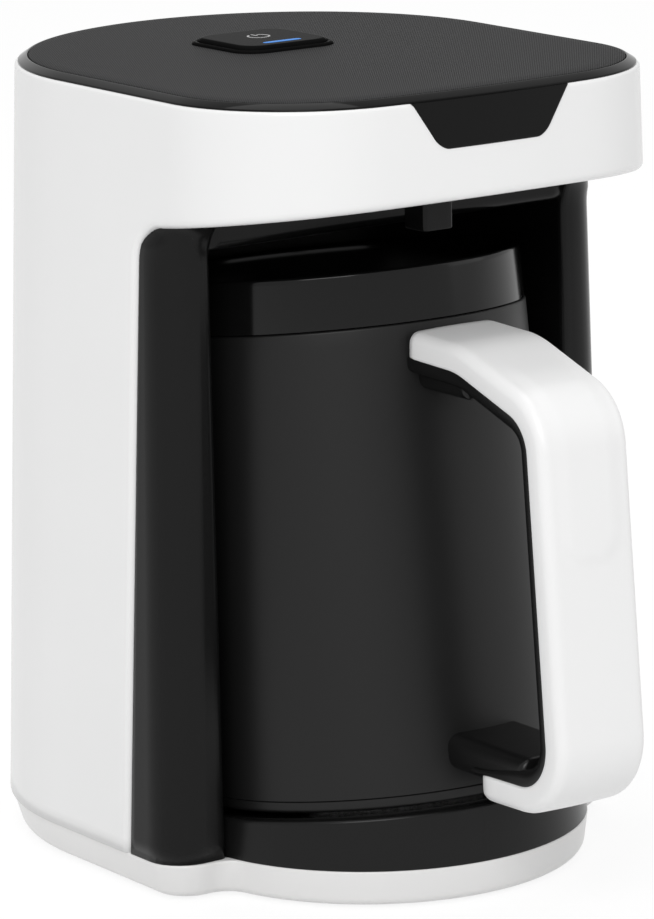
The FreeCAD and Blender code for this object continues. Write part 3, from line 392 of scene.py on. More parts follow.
class Finish(Enum):
    """Every finish on the coffee maker."""

    WHITE = MouldedPlastic("white_gloss_plastic", 0.80, 0.26)
    PLINTH_WHITE = MouldedPlastic("plinth_white_plastic", 0.78, 0.32, tint=(1.0, 0.995, 0.99))
    HANDLE_WHITE = MouldedPlastic("handle_white_plastic", 0.82, 0.34, grain_strength=0.08)
    LINER_BLACK = MouldedPlastic("liner_black_plastic", 0.005, 0.24, 0.16)
    PIANO_BLACK = MouldedPlastic("piano_black_plastic", 0.004, 0.07, 0.12, grain_strength=0.01)
    BUTTON_BLACK = MouldedPlastic("button_black_plastic", 0.006, 0.14, 0.001, grain_strength=0.01)
    TRAY_BLACK = MouldedPlastic("tray_black_plastic", 0.006, 0.26, 0.2)
    POT_BLACK = MouldedPlastic("pot_satin_black", 0.007, 0.42, 0.27, grain_per_m=2600.0,
                               grain_strength=0.12)
    COLLAR_BLACK = MouldedPlastic("collar_gloss_black", 0.004, 0.14, 0.26, grain_strength=0.01)
    HANDLE_BLACK = MouldedPlastic("handle_black_plastic", 0.006, 0.26, 0.25)
    RUBBER = MouldedPlastic("soft_rubber", 0.02, 0.75, 0.3, grain_strength=0.2)
    INNER_PLASTIC = MouldedPlastic("inner_plastic", 0.05, 0.5)
    CERAMIC = MouldedPlastic("pale_ceramic", 0.7, 0.6, tint=(1.0, 0.97, 0.9))
    BOARD = MouldedPlastic("board_lacquer", 0.12, 0.35, tint=(0.25, 1.0, 0.45))
    COPPER_WIRE = MouldedPlastic("lacquered_winding", 0.3, 0.3, tint=(1.0, 0.45, 0.15))
    MARK_GREY = MouldedPlastic("printed_mark", 0.45, 0.45)
    LENS = MouldedPlastic("dark_lens", 0.02, 0.08)
    PANEL = WovenPanel("woven_panel", 0.040, 620.0, 38.0)
    STEEL = TurnedSteel("turned_steel", 0.62, 0.28)
    GLOW = GlowingBar("status_light", (0.03, 0.20, 0.62), 1.0)


_MATERIALS: dict[Finish, bpy.types.Material] = {}


def material_of(finish: Finish) -> bpy.types.Material:
    """The one material of a finish, made when it is first asked for."""
    if finish not in _MATERIALS:
        _MATERIALS[finish] = finish.value.build()
    return _MATERIALS[finish]


def dress(obj: bpy.types.Object, finish: Finish) -> None:
    """Give an object one finish on all its faces."""
    obj.data.materials.clear()
    obj.data.materials.append(material_of(finish))


def settle(obj: bpy.types.Object, finish: Finish, body: Body, slot: str, *nodes: str) -> bpy.types.Object:
    """Finish a new piece: its material, the body it rides on and the nodes it stands for.

    Args:
        obj: The piece.
        finish: Its finish.
        body: The body that it moves with.
        slot: The record's material slot; not used.
        nodes: CAD nodes that the piece replaces.

    Returns:
        The piece.
    """
    dress(obj, finish)
    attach(obj, body.value)
    if nodes:
        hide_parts(*nodes)
    LOG.info("%s: %d faces, rides on %s", obj.name, len(obj.data.polygons), body.value)
    return obj


@dataclass
class HousingPlan:
    """The housing's plan: a bulged front, round corners, straight sides and a round back.

    Every column of a grid belongs to a circle: x = cx + (r + grow) sin a and
    y = cy - (r + grow) cos a, where grow is the wall's draft at a height plus an offset.
    A column's last number is its share of the back's lean, from 0 at the front to 1.
    """

    half_width: float = 75.2
    front_y: float = -62.0
    bulge_r: float = 350.0
    corner_r: float = 45.0
    rear_y: float = 42.2
    rear_lean: float = 0.0337
    draft_deg: float = 1.3
    top_z: float = 228.2

    @property
    def bulge_y(self) -> float:
        """Y of the front bulge's centre."""
        return self.front_y + self.bulge_r

    @property
    def corner_x(self) -> float:
        """X of a front corner's centre."""
        return self.half_width - self.corner_r

    @property
    def corner_y(self) -> float:
        """Y of a front corner's centre."""
        reach = self.bulge_r - self.corner_r
        return self.bulge_y - math.sqrt(reach ** 2 - self.corner_x ** 2)

    @property
    def turn(self) -> float:
        """Angle at which the bulge meets a corner."""
        return math.asin(self.corner_x / (self.bulge_r - self.corner_r))

    def grow(self, z: Array) -> Array:
        """How far the drafted wall stands outside the top plan at a height."""
        return (self.top_z - np.asarray(z, dtype=float)) * math.tan(math.radians(self.draft_deg))

    def back_y(self, z: Array) -> Array:
        """Centre of the round back, which moves back towards the foot."""
        return self.rear_y + self.rear_lean * (self.top_z - np.asarray(z, dtype=float))

    def right_front(self, steps: int) -> Array:
        """Columns from the middle of the front round to the right side, as circle data."""
        bulge = np.stack([np.zeros(steps), np.full(steps, self.bulge_y), np.full(steps, self.bulge_r),
                          arc_steps(0.0, self.turn, steps), np.zeros(steps)], axis=-1)
        corner = np.stack([np.full(steps, self.corner_x), np.full(steps, self.corner_y),
                           np.full(steps, self.corner_r), arc_steps(self.turn, QUARTER, steps),
                           np.zeros(steps)], axis=-1)
        return np.concatenate([bulge, corner[1:]])

    def right_side(self, y0: float, y1: float, steps: int, lean: float = 0.0) -> Array:
        """Columns along the straight right side, with the lean's share at their far end."""
        return np.stack([np.full(steps, self.corner_x), arc_steps(y0, y1, steps),
                         np.full(steps, self.corner_r), np.full(steps, QUARTER),
                         arc_steps(0.0, lean, steps)], axis=-1)

    def right_back(self, steps: int) -> Array:
        """Columns from the right side round to the middle of the back."""
        return np.stack([np.zeros(steps), np.full(steps, self.rear_y), np.full(steps, self.half_width),
                         arc_steps(QUARTER, math.pi, steps), np.ones(steps)], axis=-1)

    def whole(self, front_steps: int, side_steps: int, back_steps: int) -> Array:
        """Columns all the way round, starting at the middle of the front."""
        right = np.concatenate([self.right_front(front_steps),
                                self.right_side(self.corner_y, self.rear_y, side_steps, 1.0)[1:],
                                self.right_back(back_steps)[1:]])
        return np.concatenate([right, self.mirrored(right)[1:-1]])

    @staticmethod
    def mirrored(columns: Array) -> Array:
        """The same columns on the left side, in the opposite order."""
        left = mirror(columns)
        left[:, 3] *= -1
        return left

    def at(self, columns: Array, z: Array, offset: Array) -> Array:
        """Points on the wall.

        Args:
            columns: Circle data, one row for each column.
            z: Height of each row, or of each point.
            offset: Distance outside the wall of each row.

        Returns:
            Points as rows by columns by 3.
        """
        z, offset = np.asarray(z, dtype=float), np.asarray(offset, dtype=float)
        z = z if z.ndim == 2 else z[:, None]
        radius = columns[None, :, 2] + self.grow(z) + offset[:, None]
        x = columns[None, :, 0] + radius * np.sin(columns[None, :, 3])
        y = columns[None, :, 1] - radius * np.cos(columns[None, :, 3])
        y = y + columns[None, :, 4] * (self.back_y(z) - self.rear_y)
        return np.stack([x, y, np.broadcast_to(z, x.shape)], axis=-1)

    def ring(self, profile: Array, columns: Array) -> Array:
        """Carry a closed profile of (offset, height) round the plan."""
        return self.at(columns, profile[:, 1], profile[:, 0])

    def front_point_y(self, x: Array, z: Array, offset: Array) -> Array:
        """Y of the bulged front at a place across and up."""
        radius = self.bulge_r + self.grow(z) + offset
        return self.bulge_y - np.sqrt(radius ** 2 - x ** 2)


PLAN = HousingPlan()


@dataclass
class WhiteShell:
    """The white outer shell: head ring, side and back wall, and a rolled rim round the opening."""

    foot_z: float = PLINTH_TOP_Z
    head_z: float = 193.0
    head_slope: float = 0.1336
    rim_r: float = 2.5
    top_r: float = 1.0
    wall: float = 1.1
    flange: float = 1.6
    edge_foot_y: float = 9.9
    edge_top_y: float = 1.2
    knee_r: float = 11.0

    @property
    def knee_z(self) -> float:
        """Height at which the opening's round corner starts."""
        return self.head_z - self.knee_r

    @property
    def knee_y(self) -> float:
        """Y of the centre of the opening's round corner, where the head's slope starts."""
        return float(self.edge_y(self.knee_z)) - self.knee_r

    def low_z(self, y: Array) -> Array:
        """Height of the head's skin edge, which rises towards the front from the round corner."""
        return self.head_z + self.rim_r + self.head_slope * np.maximum(self.knee_y - y, 0.0)

    def edge_y(self, z: Array) -> Array:
        """Where the side panels end at the front, on the straight part."""
        return self.edge_foot_y + (self.edge_top_y - self.edge_foot_y) * np.asarray(z) / self.head_z

    def skin_rows(self) -> Array:
        """Heights of the wall's rows, close together round the opening's corner."""
        reach = self.knee_r + self.rim_r
        corner = self.knee_z + reach * np.sin(arc_steps(0.0, QUARTER, 12))
        return np.concatenate([arc_steps(self.foot_z, self.knee_z, 40), corner[1:]])

    def skin_edge_y(self, z: Array) -> Array:
        """Front end of the skin, a rim's radius behind the opening's edge."""
        reach = self.knee_r + self.rim_r
        rise = np.clip(z - self.knee_z, 0.0, reach)
        round_y = self.knee_y + np.sqrt(np.maximum(reach ** 2 - rise ** 2, 0.0))
        return np.where(z <= self.knee_z, self.edge_y(z) + self.rim_r, round_y)

    def wall_grid(self) -> Array:
        """Side and back wall: rows by height, columns from the right edge round to the left edge.

        On the sides y runs evenly from the skin's edge to the start of the round back.
        """
        z = self.skin_rows()
        share = arc_steps(0.0, 1.0, 12)
        y = self.skin_edge_y(z)[:, None] * (1 - share) + PLAN.back_y(z)[:, None] * share
        x = np.broadcast_to((PLAN.half_width + PLAN.grow(z))[:, None], y.shape)
        right = np.stack([x, y, np.broadcast_to(z[:, None], y.shape)], axis=-1)
        back = PLAN.at(PLAN.right_back(29), z, np.zeros_like(z))[:, 1:]
        half = np.concatenate([right, back], axis=1)
        return np.concatenate([half, mirror(half, 1)[:, 1:]], axis=1)

    def head_grid(self) -> Array:
        """Head ring with its rounded top edge, all the way round."""
        side = PLAN.right_side(self.knee_y, PLAN.rear_y, 12, 1.0)
        right = np.concatenate([PLAN.right_front(18), PLAN.right_side(PLAN.corner_y, self.knee_y, 6)[1:],
                                side[1:], PLAN.right_back(29)[1:]])
        columns = np.concatenate([right, PLAN.mirrored(right)[1:-1]])
        low = self._low_row(columns)
        share = arc_steps(0.0, 1.0, 12)[:, None]
        wall = low[None] * (1 - share) + (PLAN.top_z - self.top_r) * share
        top = corner_arc((-self.top_r, PLAN.top_z - self.top_r), self.top_r, 0, 90)
        z = np.concatenate([wall, np.broadcast_to(top[1:, 1:], (len(top) - 1, len(columns))),
                            np.full((1, len(columns)), PLAN.top_z)])
        return PLAN.at(columns, z, np.concatenate([np.zeros(12), top[1:, 0], [-2.8]]))

    def _low_row(self, columns: Array) -> Array:
        """Height of the head's skin edge at each column of the plan."""
        return self.low_z(PLAN.at(columns, np.array([self.head_z]), np.zeros(1))[0][:, 1])

    def rim_path(self) -> tuple[Array, Array]:
        """The skin's edge from the foot of the right panel round the head to the left foot.

        Returns:
            Points on the wall and the wall's outward directions there.
        """
        z = self.skin_rows()
        right = np.stack([PLAN.half_width + PLAN.grow(z), self.skin_edge_y(z), z], axis=-1)
        front = np.concatenate([PLAN.right_front(18),
                                PLAN.right_side(PLAN.corner_y, float(right[-1, 1]), 6)[1:]])
        arch = PLAN.at(front, self._low_row(front)[None], np.zeros(1))[0][::-1]
        half = np.concatenate([right, arch[1:]])
        out = np.zeros_like(half)
        out[:len(right), 0] = 1.0
        out[len(right):, 0] = np.sin(front[::-1][1:, 3])
        out[len(right):, 1] = -np.cos(front[::-1][1:, 3])
        lean = math.radians(PLAN.draft_deg)
        out *= math.cos(lean)
        out[:, 2] = math.sin(lean)
        return np.concatenate([half, mirror(half)[1:]]), np.concatenate([out, mirror(out)[1:]])

    def rim_grid(self) -> Array:
        """Rolled rim: a quarter circle that turns in from the skin's edge, then a short flange."""
        path, out = self.rim_path()
        along = np.gradient(path, axis=0)
        along /= np.linalg.norm(along, axis=1, keepdims=True)
        away = np.cross(along, out)
        away /= np.linalg.norm(away, axis=1, keepdims=True)
        if away[0, 1] > 0:
            away = -away
        angle = arc_steps(0.0, QUARTER, 8)
        over = np.concatenate([self.rim_r * np.sin(angle), [self.rim_r]])
        into = np.concatenate([self.rim_r * (1 - np.cos(angle)), [self.rim_r + self.flange]])
        return path[None] + over[:, None, None] * away[None] - into[:, None, None] * out[None]

    def build(self) -> bpy.types.Object:
        """Join wall, head and rim into one sheet and give it its thickness."""
        surface = Surface().add(self.wall_grid()).add(self.head_grid(), wrap_cols=True).add(self.rim_grid())
        shell = surface.piece("white_shell", wall=self.wall, outward_from=(0.0, 20.0, 150.0))
        return settle(shell, Finish.WHITE, Body.MACHINE, "white_gloss", "body_shell")


@dataclass
class NicheLiner:
    """Black liner: two columns that flare under the head, the niche wall and the stepped ceiling."""

    shell: WhiteShell
    front_y: float = -12.4
    flare_r: float = 14.0
    column_z: float = 196.5
    flush: float = 0.7
    tuck: float = 1.6
    corner_r: float = 11.0
    inner_r: float = 2.0
    niche_r: float = 60.5
    foot_y: float = 2.0
    top_y: float = 22.0
    low_z: float = 186.0
    high_z: float = 201.5
    step_y: float = -12.0
    step_r: float = 2.0

    def column_y(self, z: Array) -> Array:
        """Front of the columns: straight, then a quarter circle forward under the head."""
        rise = np.clip(z - (self.column_z - self.flare_r), 0.0, self.flare_r)
        return self.front_y - (self.flare_r - np.sqrt(self.flare_r ** 2 - rise ** 2))

    def niche_y(self, z: Array) -> Array:
        """Centre of the niche's half-round back, which leans with the pot."""
        slope = (self.top_y - self.foot_y) / (self.low_z - self.shell.foot_z)
        return self.foot_y + slope * (z - self.shell.foot_z)

    def section_grid(self) -> Array:
        """Horizontal sections of the right column and half the niche wall, stacked by height."""
        rise = arc_steps(0.0, QUARTER, 14)
        z = np.concatenate([arc_steps(self.shell.foot_z, self.column_z - self.flare_r, 36),
                            self.column_z - self.flare_r + self.flare_r * np.sin(rise)[1:]])
        wide = PLAN.half_width + PLAN.grow(z) - self.flush - self.tuck * smooth_step(z, 187.0, 192.0)
        edge = self.shell.skin_edge_y(z) - self.shell.rim_r - 0.25
        front, back = self.column_y(z), self.niche_y(z)
        one = np.ones_like(z)
        columns: list[tuple[Array, Array]] = []
        columns.append((wide - 3.4, edge + 1.2))
        columns.append((wide - 0.5, edge + 0.2))
        columns.append((wide, edge - 0.5))
        corner_y = front + self.corner_r
        for share in arc_steps(0.2, 1.0, 6):
            columns.append((wide, edge - 0.5 + (corner_y - edge + 0.5) * share))
        for angle in arc_steps(0.0, QUARTER, 8)[1:]:
            columns.append((wide - self.corner_r * (1 - math.cos(angle)),
                            corner_y - self.corner_r * math.sin(angle)))
        left, right = wide - self.corner_r, (self.niche_r + self.inner_r) * one
        for share in arc_steps(0.25, 1.0, 4):
            columns.append((left + (right - left) * share, front))
        for angle in arc_steps(0.0, QUARTER, 7)[1:]:
            columns.append((right - self.inner_r * math.sin(angle),
                            front + self.inner_r * (1 - math.cos(angle))))
        inner = front + self.inner_r
        for share in arc_steps(0.1, 1.0, 10):
            columns.append((self.niche_r * one, inner + (back - inner) * share))
        for angle in arc_steps(0.0, QUARTER, 20)[1:]:
            columns.append((self.niche_r * math.cos(angle) * one, back + self.niche_r * math.sin(angle)))
        x = np.stack([c[0] for c in columns], axis=1)
        y = np.stack([c[1] for c in columns], axis=1)
        half = np.stack([x, y, np.broadcast_to(z[:, None], x.shape)], axis=-1)
        return np.concatenate([half, mirror(half, 1)[:, 1:]], axis=1)

    def ceiling_grid(self) -> Array:
        """Low ceiling, riser and high ceiling: one profile in the side view carried across."""
        r = self.step_r
        profile = join_profile([(60.0, self.low_z), (20.0, self.low_z)],
                               corner_arc((self.step_y + r, self.low_z + r), r, 270, 180),
                               corner_arc((self.step_y - r, self.high_z - r), r, 0, 90),
                               [(self.step_y - 8.0, self.high_z)])
        across = arc_steps(-1.0, 1.0, 25)
        y, z = profile[:, 0], profile[:, 1]
        reach = np.sqrt(np.maximum((self.niche_r + 2.0) ** 2 - np.maximum(y - 20.0, 0.0) ** 2, 1.0))
        x = reach[:, None] * across[None]
        return np.stack([x, np.broadcast_to(y[:, None], x.shape), np.broadcast_to(z[:, None], x.shape)], -1)

    def front_ceiling_grid(self) -> Array:
        """High ceiling in front of the step: straight lines from the head's inner wall back to it."""
        front = np.concatenate([PLAN.right_front(14),
                                PLAN.right_side(PLAN.corner_y, self.step_y - 8.0, 3)[1:]])
        right = PLAN.at(front, np.array([self.high_z]), np.array([-2.6]))[0]
        edge = np.concatenate([mirror(right)[:-1], right])
        share = arc_steps(0.0, 1.0, 6)[:, None]
        y = edge[None, :, 1] * (1 - share) + (self.step_y - 8.0) * share
        x = np.broadcast_to(edge[None, :, 0], y.shape)
        return np.stack([x, y, np.full_like(y, self.high_z)], axis=-1)

    def deck_grid(self) -> Array:
        """Narrow deck at the foot of the niche, round the tray."""
        angle = arc_steps(0.0, math.pi, 49)
        radius = np.array([58.0, self.niche_r + 1.0])[:, None]
        x, y = radius * np.cos(angle), self.foot_y + radius * np.sin(angle)
        return np.stack([x, y, np.full_like(x, self.shell.foot_z + 2.2)], axis=-1)

    def build(self) -> list[bpy.types.Object]:
        """Build the columns with the niche wall, and the ceiling with the deck."""
        behind = (0.0, 900.0, 100.0)
        column = Surface().add(self.section_grid()).piece("niche_columns", wall=1.2, outward_from=behind)
        ceiling = Surface().add(self.ceiling_grid()).add(self.front_ceiling_grid())
        roof = ceiling.add(self.deck_grid()).piece("niche_ceiling", wall=0.8)
        settle(column, Finish.LINER_BLACK, Body.MACHINE, "black_liner", "niche_liner")
        settle(roof, Finish.LINER_BLACK, Body.MACHINE, "black_liner", "niche_liner")
        return [column, roof]


@dataclass
class Plinth:
    """White plinth: a round front, two lobes with concave fillets and a round back."""

    bottom_z: float = 0.8
    top_z: float = PLINTH_TOP_Z
    centre_y: float = 0.5
    front_r: float = 61.5
    half_width: float = 79.6
    rear_y: float = 49.4
    lobe_y: float = -13.5
    tuck: float = 3.2
    front_share: float = 0.4375
    fillet_r: float = 8.0
    corner_r: float = 12.0
    foot_r: float = 2.6
    rim_r: float = 0.7
    wall: float = 2.6
    floor_thick: float = 3.2

    @property
    def middle(self) -> Array:
        """The point that the floor's rows shrink towards."""
        return np.array([0.0, 20.0])

    def plan_row(self, tuck: float, inset: float = 0.0, steps: int = 13) -> Array:
        """The plan at a tuck and an even inset, as points from the middle of the front all the way round.

        The front circle meets each fillet where the line between their centres crosses it.
        """
        front_r, side = self.front_r - tuck * self.front_share - inset, self.half_width - tuck - inset
        lobe_y, fillet, corner = self.lobe_y + tuck + inset, self.fillet_r, self.corner_r - tuck / 2 - inset
        rise = lobe_y - fillet - self.centre_y
        across = math.sqrt((front_r + fillet) ** 2 - rise ** 2)
        meet = math.atan2(across, -rise)
        a = arc_steps(0.0, meet, 3 * steps)
        front = np.stack([front_r * np.sin(a), self.centre_y - front_r * np.cos(a)], axis=-1)
        b = arc_steps(math.atan2(-rise, -across), QUARTER, steps)
        bend = np.stack([across + fillet * np.cos(b), self.centre_y + rise + fillet * np.sin(b)], axis=-1)
        c = arc_steps(-QUARTER, 0.0, steps)
        lobe = np.stack([side - corner + corner * np.cos(c), lobe_y + corner + corner * np.sin(c)], axis=-1)
        d = arc_steps(0.0, QUARTER, 4 * steps)
        back = np.stack([side * np.cos(d), self.rear_y + side * np.sin(d)], axis=-1)
        flat = arc_steps(lobe_y + corner, self.rear_y, steps)
        wall = np.stack([np.full(steps, side), flat], axis=-1)
        right = np.concatenate([front, bend[1:], lobe, wall[1:], back[1:]])
        return np.concatenate([right, mirror(right)[1:-1]])

    def build(self) -> bpy.types.Object:
        """Stack plans from the underside's middle up the rounded foot and wall to the top and inside."""
        angle = arc_steps(0.0, QUARTER, 8)
        lift = self.top_z - self.bottom_z
        rows = [(scale, self.tuck, self.foot_r, self.bottom_z) for scale in (0.02, 0.5, 0.9)]
        for a in angle:
            z = self.bottom_z + self.foot_r * (1 - math.cos(a))
            rows.append((1.0, self.tuck * (self.top_z - z) / lift, self.foot_r * (1 - math.sin(a)), z))
        for a in angle:
            z = self.top_z - self.rim_r + self.rim_r * math.sin(a)
            rows.append((1.0, self.tuck * (self.top_z - z) / lift, self.rim_r * (1 - math.cos(a)), z))
        floor, wall = self.bottom_z + self.floor_thick, self.wall
        rows += [(1.0, 0.0, wall, self.top_z), (1.0, self.tuck, wall, floor), (0.9, self.tuck, wall, floor),
                 (0.02, self.tuck, wall, floor)]
        grids = []
        for scale, tuck, inset, z in rows:
            plan = self.plan_row(tuck, inset)
            flat = self.middle + (plan - self.middle) * scale
            grids.append(at_height(flat, z))
        grid = np.stack(grids)
        grid[0, :, :2] = self.middle
        grid[-1, :, :2] = self.middle
        piece = Surface().add(grid, wrap_cols=True).piece("plinth_pan")
        return settle(piece, Finish.PLINTH_WHITE, Body.MACHINE, "white_gloss", "base_plinth")


def turned_grid(profile: Array, steps: int, centre: Sequence[float] = (0.0, 0.0)) -> Array:
    """Turn a profile of (radius, height) round an upright axis.

    Args:
        profile: Radius and height of each row.
        steps: Number of columns.
        centre: X and y of the axis.

    Returns:
        Points as rows by columns by 3.
    """
    angle = np.arange(steps) * FULL / steps
    x = centre[0] + profile[:, :1] * np.sin(angle)
    y = centre[1] - profile[:, :1] * np.cos(angle)
    return np.stack([x, y, np.broadcast_to(profile[:, 1:], x.shape)], axis=-1)


@dataclass
class Tray:
    """Black tray: a slightly tapered wall, a sloping rounded rim and a sunk floor."""

    foot_r: float = 61.3
    rim_r: float = 60.0
    rim_z: float = 21.3
    rim_tilt_deg: float = 6.0
    recess_r: float = 57.4
    edge_r: float = 1.1
    floor_drop: float = 2.0
    hole_r: float = 38.8
    centre_y: float = 0.5

    def build(self, pot: "PotFrame") -> bpy.types.Object:
        """Rows by radius: each takes its height from the wall, the rim's plane or the floor's plane."""
        steps = 180
        slope = math.tan(math.radians(self.rim_tilt_deg))
        edge = self.edge_r
        mid = (self.rim_r + self.recess_r) / 2
        rim = join_profile([(self.foot_r, 0.0)], [(self.rim_r, -edge)],
                           corner_arc((self.rim_r - edge, -edge), edge, 0, 90)[1:], [(mid, 0.0)],
                           corner_arc((self.recess_r + edge, -edge), edge, 90, 180), )
        angle = np.arange(steps) * FULL / steps
        radius = rim[:, :1] * np.ones(steps)
        x, y = radius * np.sin(angle), self.centre_y - radius * np.cos(angle)
        z = self.rim_z - (y - self.centre_y) * slope + rim[:, 1:]
        z[0] = PLINTH_TOP_Z
        outer = np.stack([x, y, z], axis=-1)
        wall_low = outer[0] * 0.6 + outer[1] * 0.4
        outer = np.concatenate([outer[:1], wall_low[None], outer[1:]])
        floor_r = np.array([self.recess_r, self.recess_r - 0.8, (self.recess_r + self.hole_r) / 2,
                            self.hole_r, self.hole_r])[:, None]
        fx, fy = floor_r * np.sin(angle), self.centre_y - floor_r * np.cos(angle)
        drop = np.array([-0.8, 0.0, 0.0, 0.0, 3.5])[:, None]
        fz = pot.plane_z(fy) - self.floor_drop - drop
        floor = np.stack([fx, fy, fz], axis=-1)
        hole_shift = pot.base_y - self.centre_y
        floor[3:, :, 1] += hole_shift
        under = floor[-1].copy()
        under[:, 2] = PLINTH_TOP_Z + 0.1
        grid = np.concatenate([outer, floor, under[None]])
        piece = Surface().add(grid, wrap_rows=True, wrap_cols=True).piece("pot_tray_dish")
        return settle(piece, Finish.TRAY_BLACK, Body.MACHINE, "tray_black", "pot_tray")


@dataclass
class PotFrame:
    """Where the pot stands: it leans back by a few degrees on its sloping plate."""

    tilt_deg: float = 7.0
    base_y: float = -2.5
    base_z: float = 22.7

    def place(self, points: Array) -> Array:
        """Lean points of the pot's upright frame back onto the plate."""
        tilt = math.radians(self.tilt_deg)
        x, y, z = points[..., 0], points[..., 1], points[..., 2]
        return np.stack([x, self.base_y + y * math.cos(tilt) + z * math.sin(tilt),
                         self.base_z - y * math.sin(tilt) + z * math.cos(tilt)], axis=-1)

    def plane_z(self, y: Array) -> Array:
        """Height of the pot's standing plane at a depth."""
        return self.base_z - (y - self.base_y) * math.tan(math.radians(self.tilt_deg))


@dataclass
class Pot:
    """The pot: foot ring, satin jacket, steel bowl and gloss collar with two pouring lips."""

    frame: PotFrame
    foot_r: float = 55.0
    seam_r: float = 53.8
    seam_z: float = 134.8
    collar_foot_r: float = 53.6
    collar_top_r: float = 53.4
    height: float = 150.3
    bowl_r: float = 47.0
    shelf_z: float = 137.0
    spout_reach: float = 4.9
    spout_half: float = 11.0
    spout_depth: float = 14.0
    columns: int = 240

    def _turned(self, profile: Array) -> Array:
        """A closed profile turned round the pot's axis and leaned back."""
        return self.frame.place(turned_grid(profile, self.columns))

    def foot(self) -> bpy.types.Object:
        """Foot ring with a chamfered lower edge."""
        profile = join_profile([(41.2, 2.4), (41.2, 0.3)], corner_arc((42.0, 0.8), 0.8, 180, 270, 4),
                               [(self.foot_r - 1.4, 0.0)],
                               corner_arc((self.foot_r - 1.2, 1.2), 1.2, 270, 360),
                               [(self.foot_r, 3.0)], [(self.foot_r - 0.4, 3.3), (41.5, 3.3)])
        piece = Surface().add(self._turned(profile), wrap_rows=True, wrap_cols=True).piece("pot_foot_ring")
        return settle(piece, Finish.POT_BLACK, Body.POT, "pot_black", "pot_base_ring")

    def jacket(self) -> bpy.types.Object:
        """Outer wall: a straight taper with a softly turned upper edge."""
        outer_z = arc_steps(3.4, self.seam_z - 0.7, 30)
        share = (outer_z - 3.4) / (self.seam_z - 3.4)
        outer = np.stack([self.foot_r + (self.seam_r - self.foot_r) * share, outer_z], axis=-1)
        top = corner_arc((self.seam_r - 0.7, self.seam_z - 0.7), 0.7, 0, 90)
        inner = [(self.seam_r - 2.2, self.seam_z), (self.foot_r - 2.2, 3.4)]
        profile = join_profile(outer, top[1:], inner)
        piece = Surface().add(self._turned(profile), wrap_rows=True, wrap_cols=True).piece("pot_outer_wall")
        return settle(piece, Finish.POT_BLACK, Body.POT, "pot_black", "pot_jacket")

    def bowl(self) -> bpy.types.Object:
        """Steel bowl with a round bottom corner and a rolled rim."""
        r, low, top, bend, wall = self.bowl_r, 2.7, self.shelf_z - 0.1, 8.0, 0.8
        core = (r - bend, low + bend)
        outer = join_profile([(0.0, low)], [(r - bend, low)], corner_arc(core, bend, 270, 360, 9)[1:],
                             [(r, top - wall / 2)])
        rim = corner_arc((r - wall / 2, top - wall / 2), wall / 2, 0, 180, 7)
        inner = join_profile([(r - wall, 40.0)], corner_arc(core, bend - wall, 360, 270, 9),
                             [(0.0, low + wall)])
        profile = join_profile(outer, rim[1:], inner)
        piece = Surface().add(self._turned(profile), wrap_rows=True, wrap_cols=True).piece("steel_bowl")
        return settle(piece, Finish.STEEL, Body.POT, "plate_steel", "pot_bowl")

    def spout_push(self, angle: Array, depth: Array) -> Array:
        """How far the collar runs out at the pouring lips.

        The push falls off from the lip's middle as a rounded wedge, and gets narrower
        and shallower with the depth below the rim.

        Args:
            angle: Angle round the pot, 0 at the front.
            depth: Distance below the rim.

        Returns:
            The push outwards in millimetres.
        """
        left = np.clip(1 - depth / self.spout_depth, 0.0, 1.0)
        across = np.abs(np.abs(np.mod(angle + math.pi, FULL) - math.pi) - QUARTER) * self.collar_top_r
        half = np.maximum(self.spout_half * left, 1e-3)
        soft = np.sqrt(across ** 2 + 0.8 ** 2) - 0.8
        return self.spout_reach * left * np.clip(1 - soft / half, 0.0, 1.0)

    def collar(self) -> bpy.types.Object:
        """Collar: the outer wall, a thin rounded rim, and the inner wall down to the bowl."""
        foot, top = self.seam_z + 0.15, self.height
        outer_z = np.concatenate([[foot, foot + 0.15], arc_steps(foot + 0.6, top - 0.9, 16)])
        share = (outer_z - foot) / (top - foot)
        outer_r = self.collar_foot_r + (self.collar_top_r - self.collar_foot_r) * share
        outer_r[0] -= 0.5
        outer = np.stack([outer_r, outer_z], axis=-1)
        rim = corner_arc((self.collar_top_r - 0.9, top - 0.9), 0.9, 0, 180, 9)
        inner_z = arc_steps(top - 1.4, self.shelf_z + 0.8, 8)
        inner = np.stack([np.full(8, self.collar_top_r - 1.9), inner_z], axis=-1)
        shelf = [(self.bowl_r + 0.3, self.shelf_z), (self.bowl_r + 0.3, foot),
                 (self.collar_foot_r - 1.0, foot)]
        profile = join_profile(outer, rim[1:], inner, shelf)
        angle = self._spout_columns()
        depth = top - profile[:, 1:]
        push = self.spout_push(angle[None], depth)
        push[-3:] = 0.0
        radius = profile[:, :1] + push
        x, y = radius * np.sin(angle), -radius * np.cos(angle)
        grid = np.stack([x, y, np.broadcast_to(profile[:, 1:], x.shape)], axis=-1)
        surface = Surface().add(self.frame.place(grid), wrap_rows=True, wrap_cols=True)
        piece = surface.piece("pot_collar_ring", sharp_deg=50.0)
        return settle(piece, Finish.COLLAR_BLACK, Body.POT, "collar_gloss", "pot_collar", "pot_seal")

    def _spout_columns(self) -> Array:
        """Angles round the pot, closer together at the pouring lips."""
        coarse = np.arange(self.columns) * FULL / self.columns
        near = math.radians(14.0)
        lips = [centre + arc_steps(-near, near, 61) for centre in (QUARTER, 3 * QUARTER)]
        keep = np.abs(np.abs(np.mod(coarse, math.pi) - QUARTER)) > near
        return np.sort(np.concatenate([coarse[keep]] + lips))

    def build(self) -> list[bpy.types.Object]:
        """Build the pot's own pieces."""
        return [self.foot(), self.jacket(), self.bowl(), self.collar()]


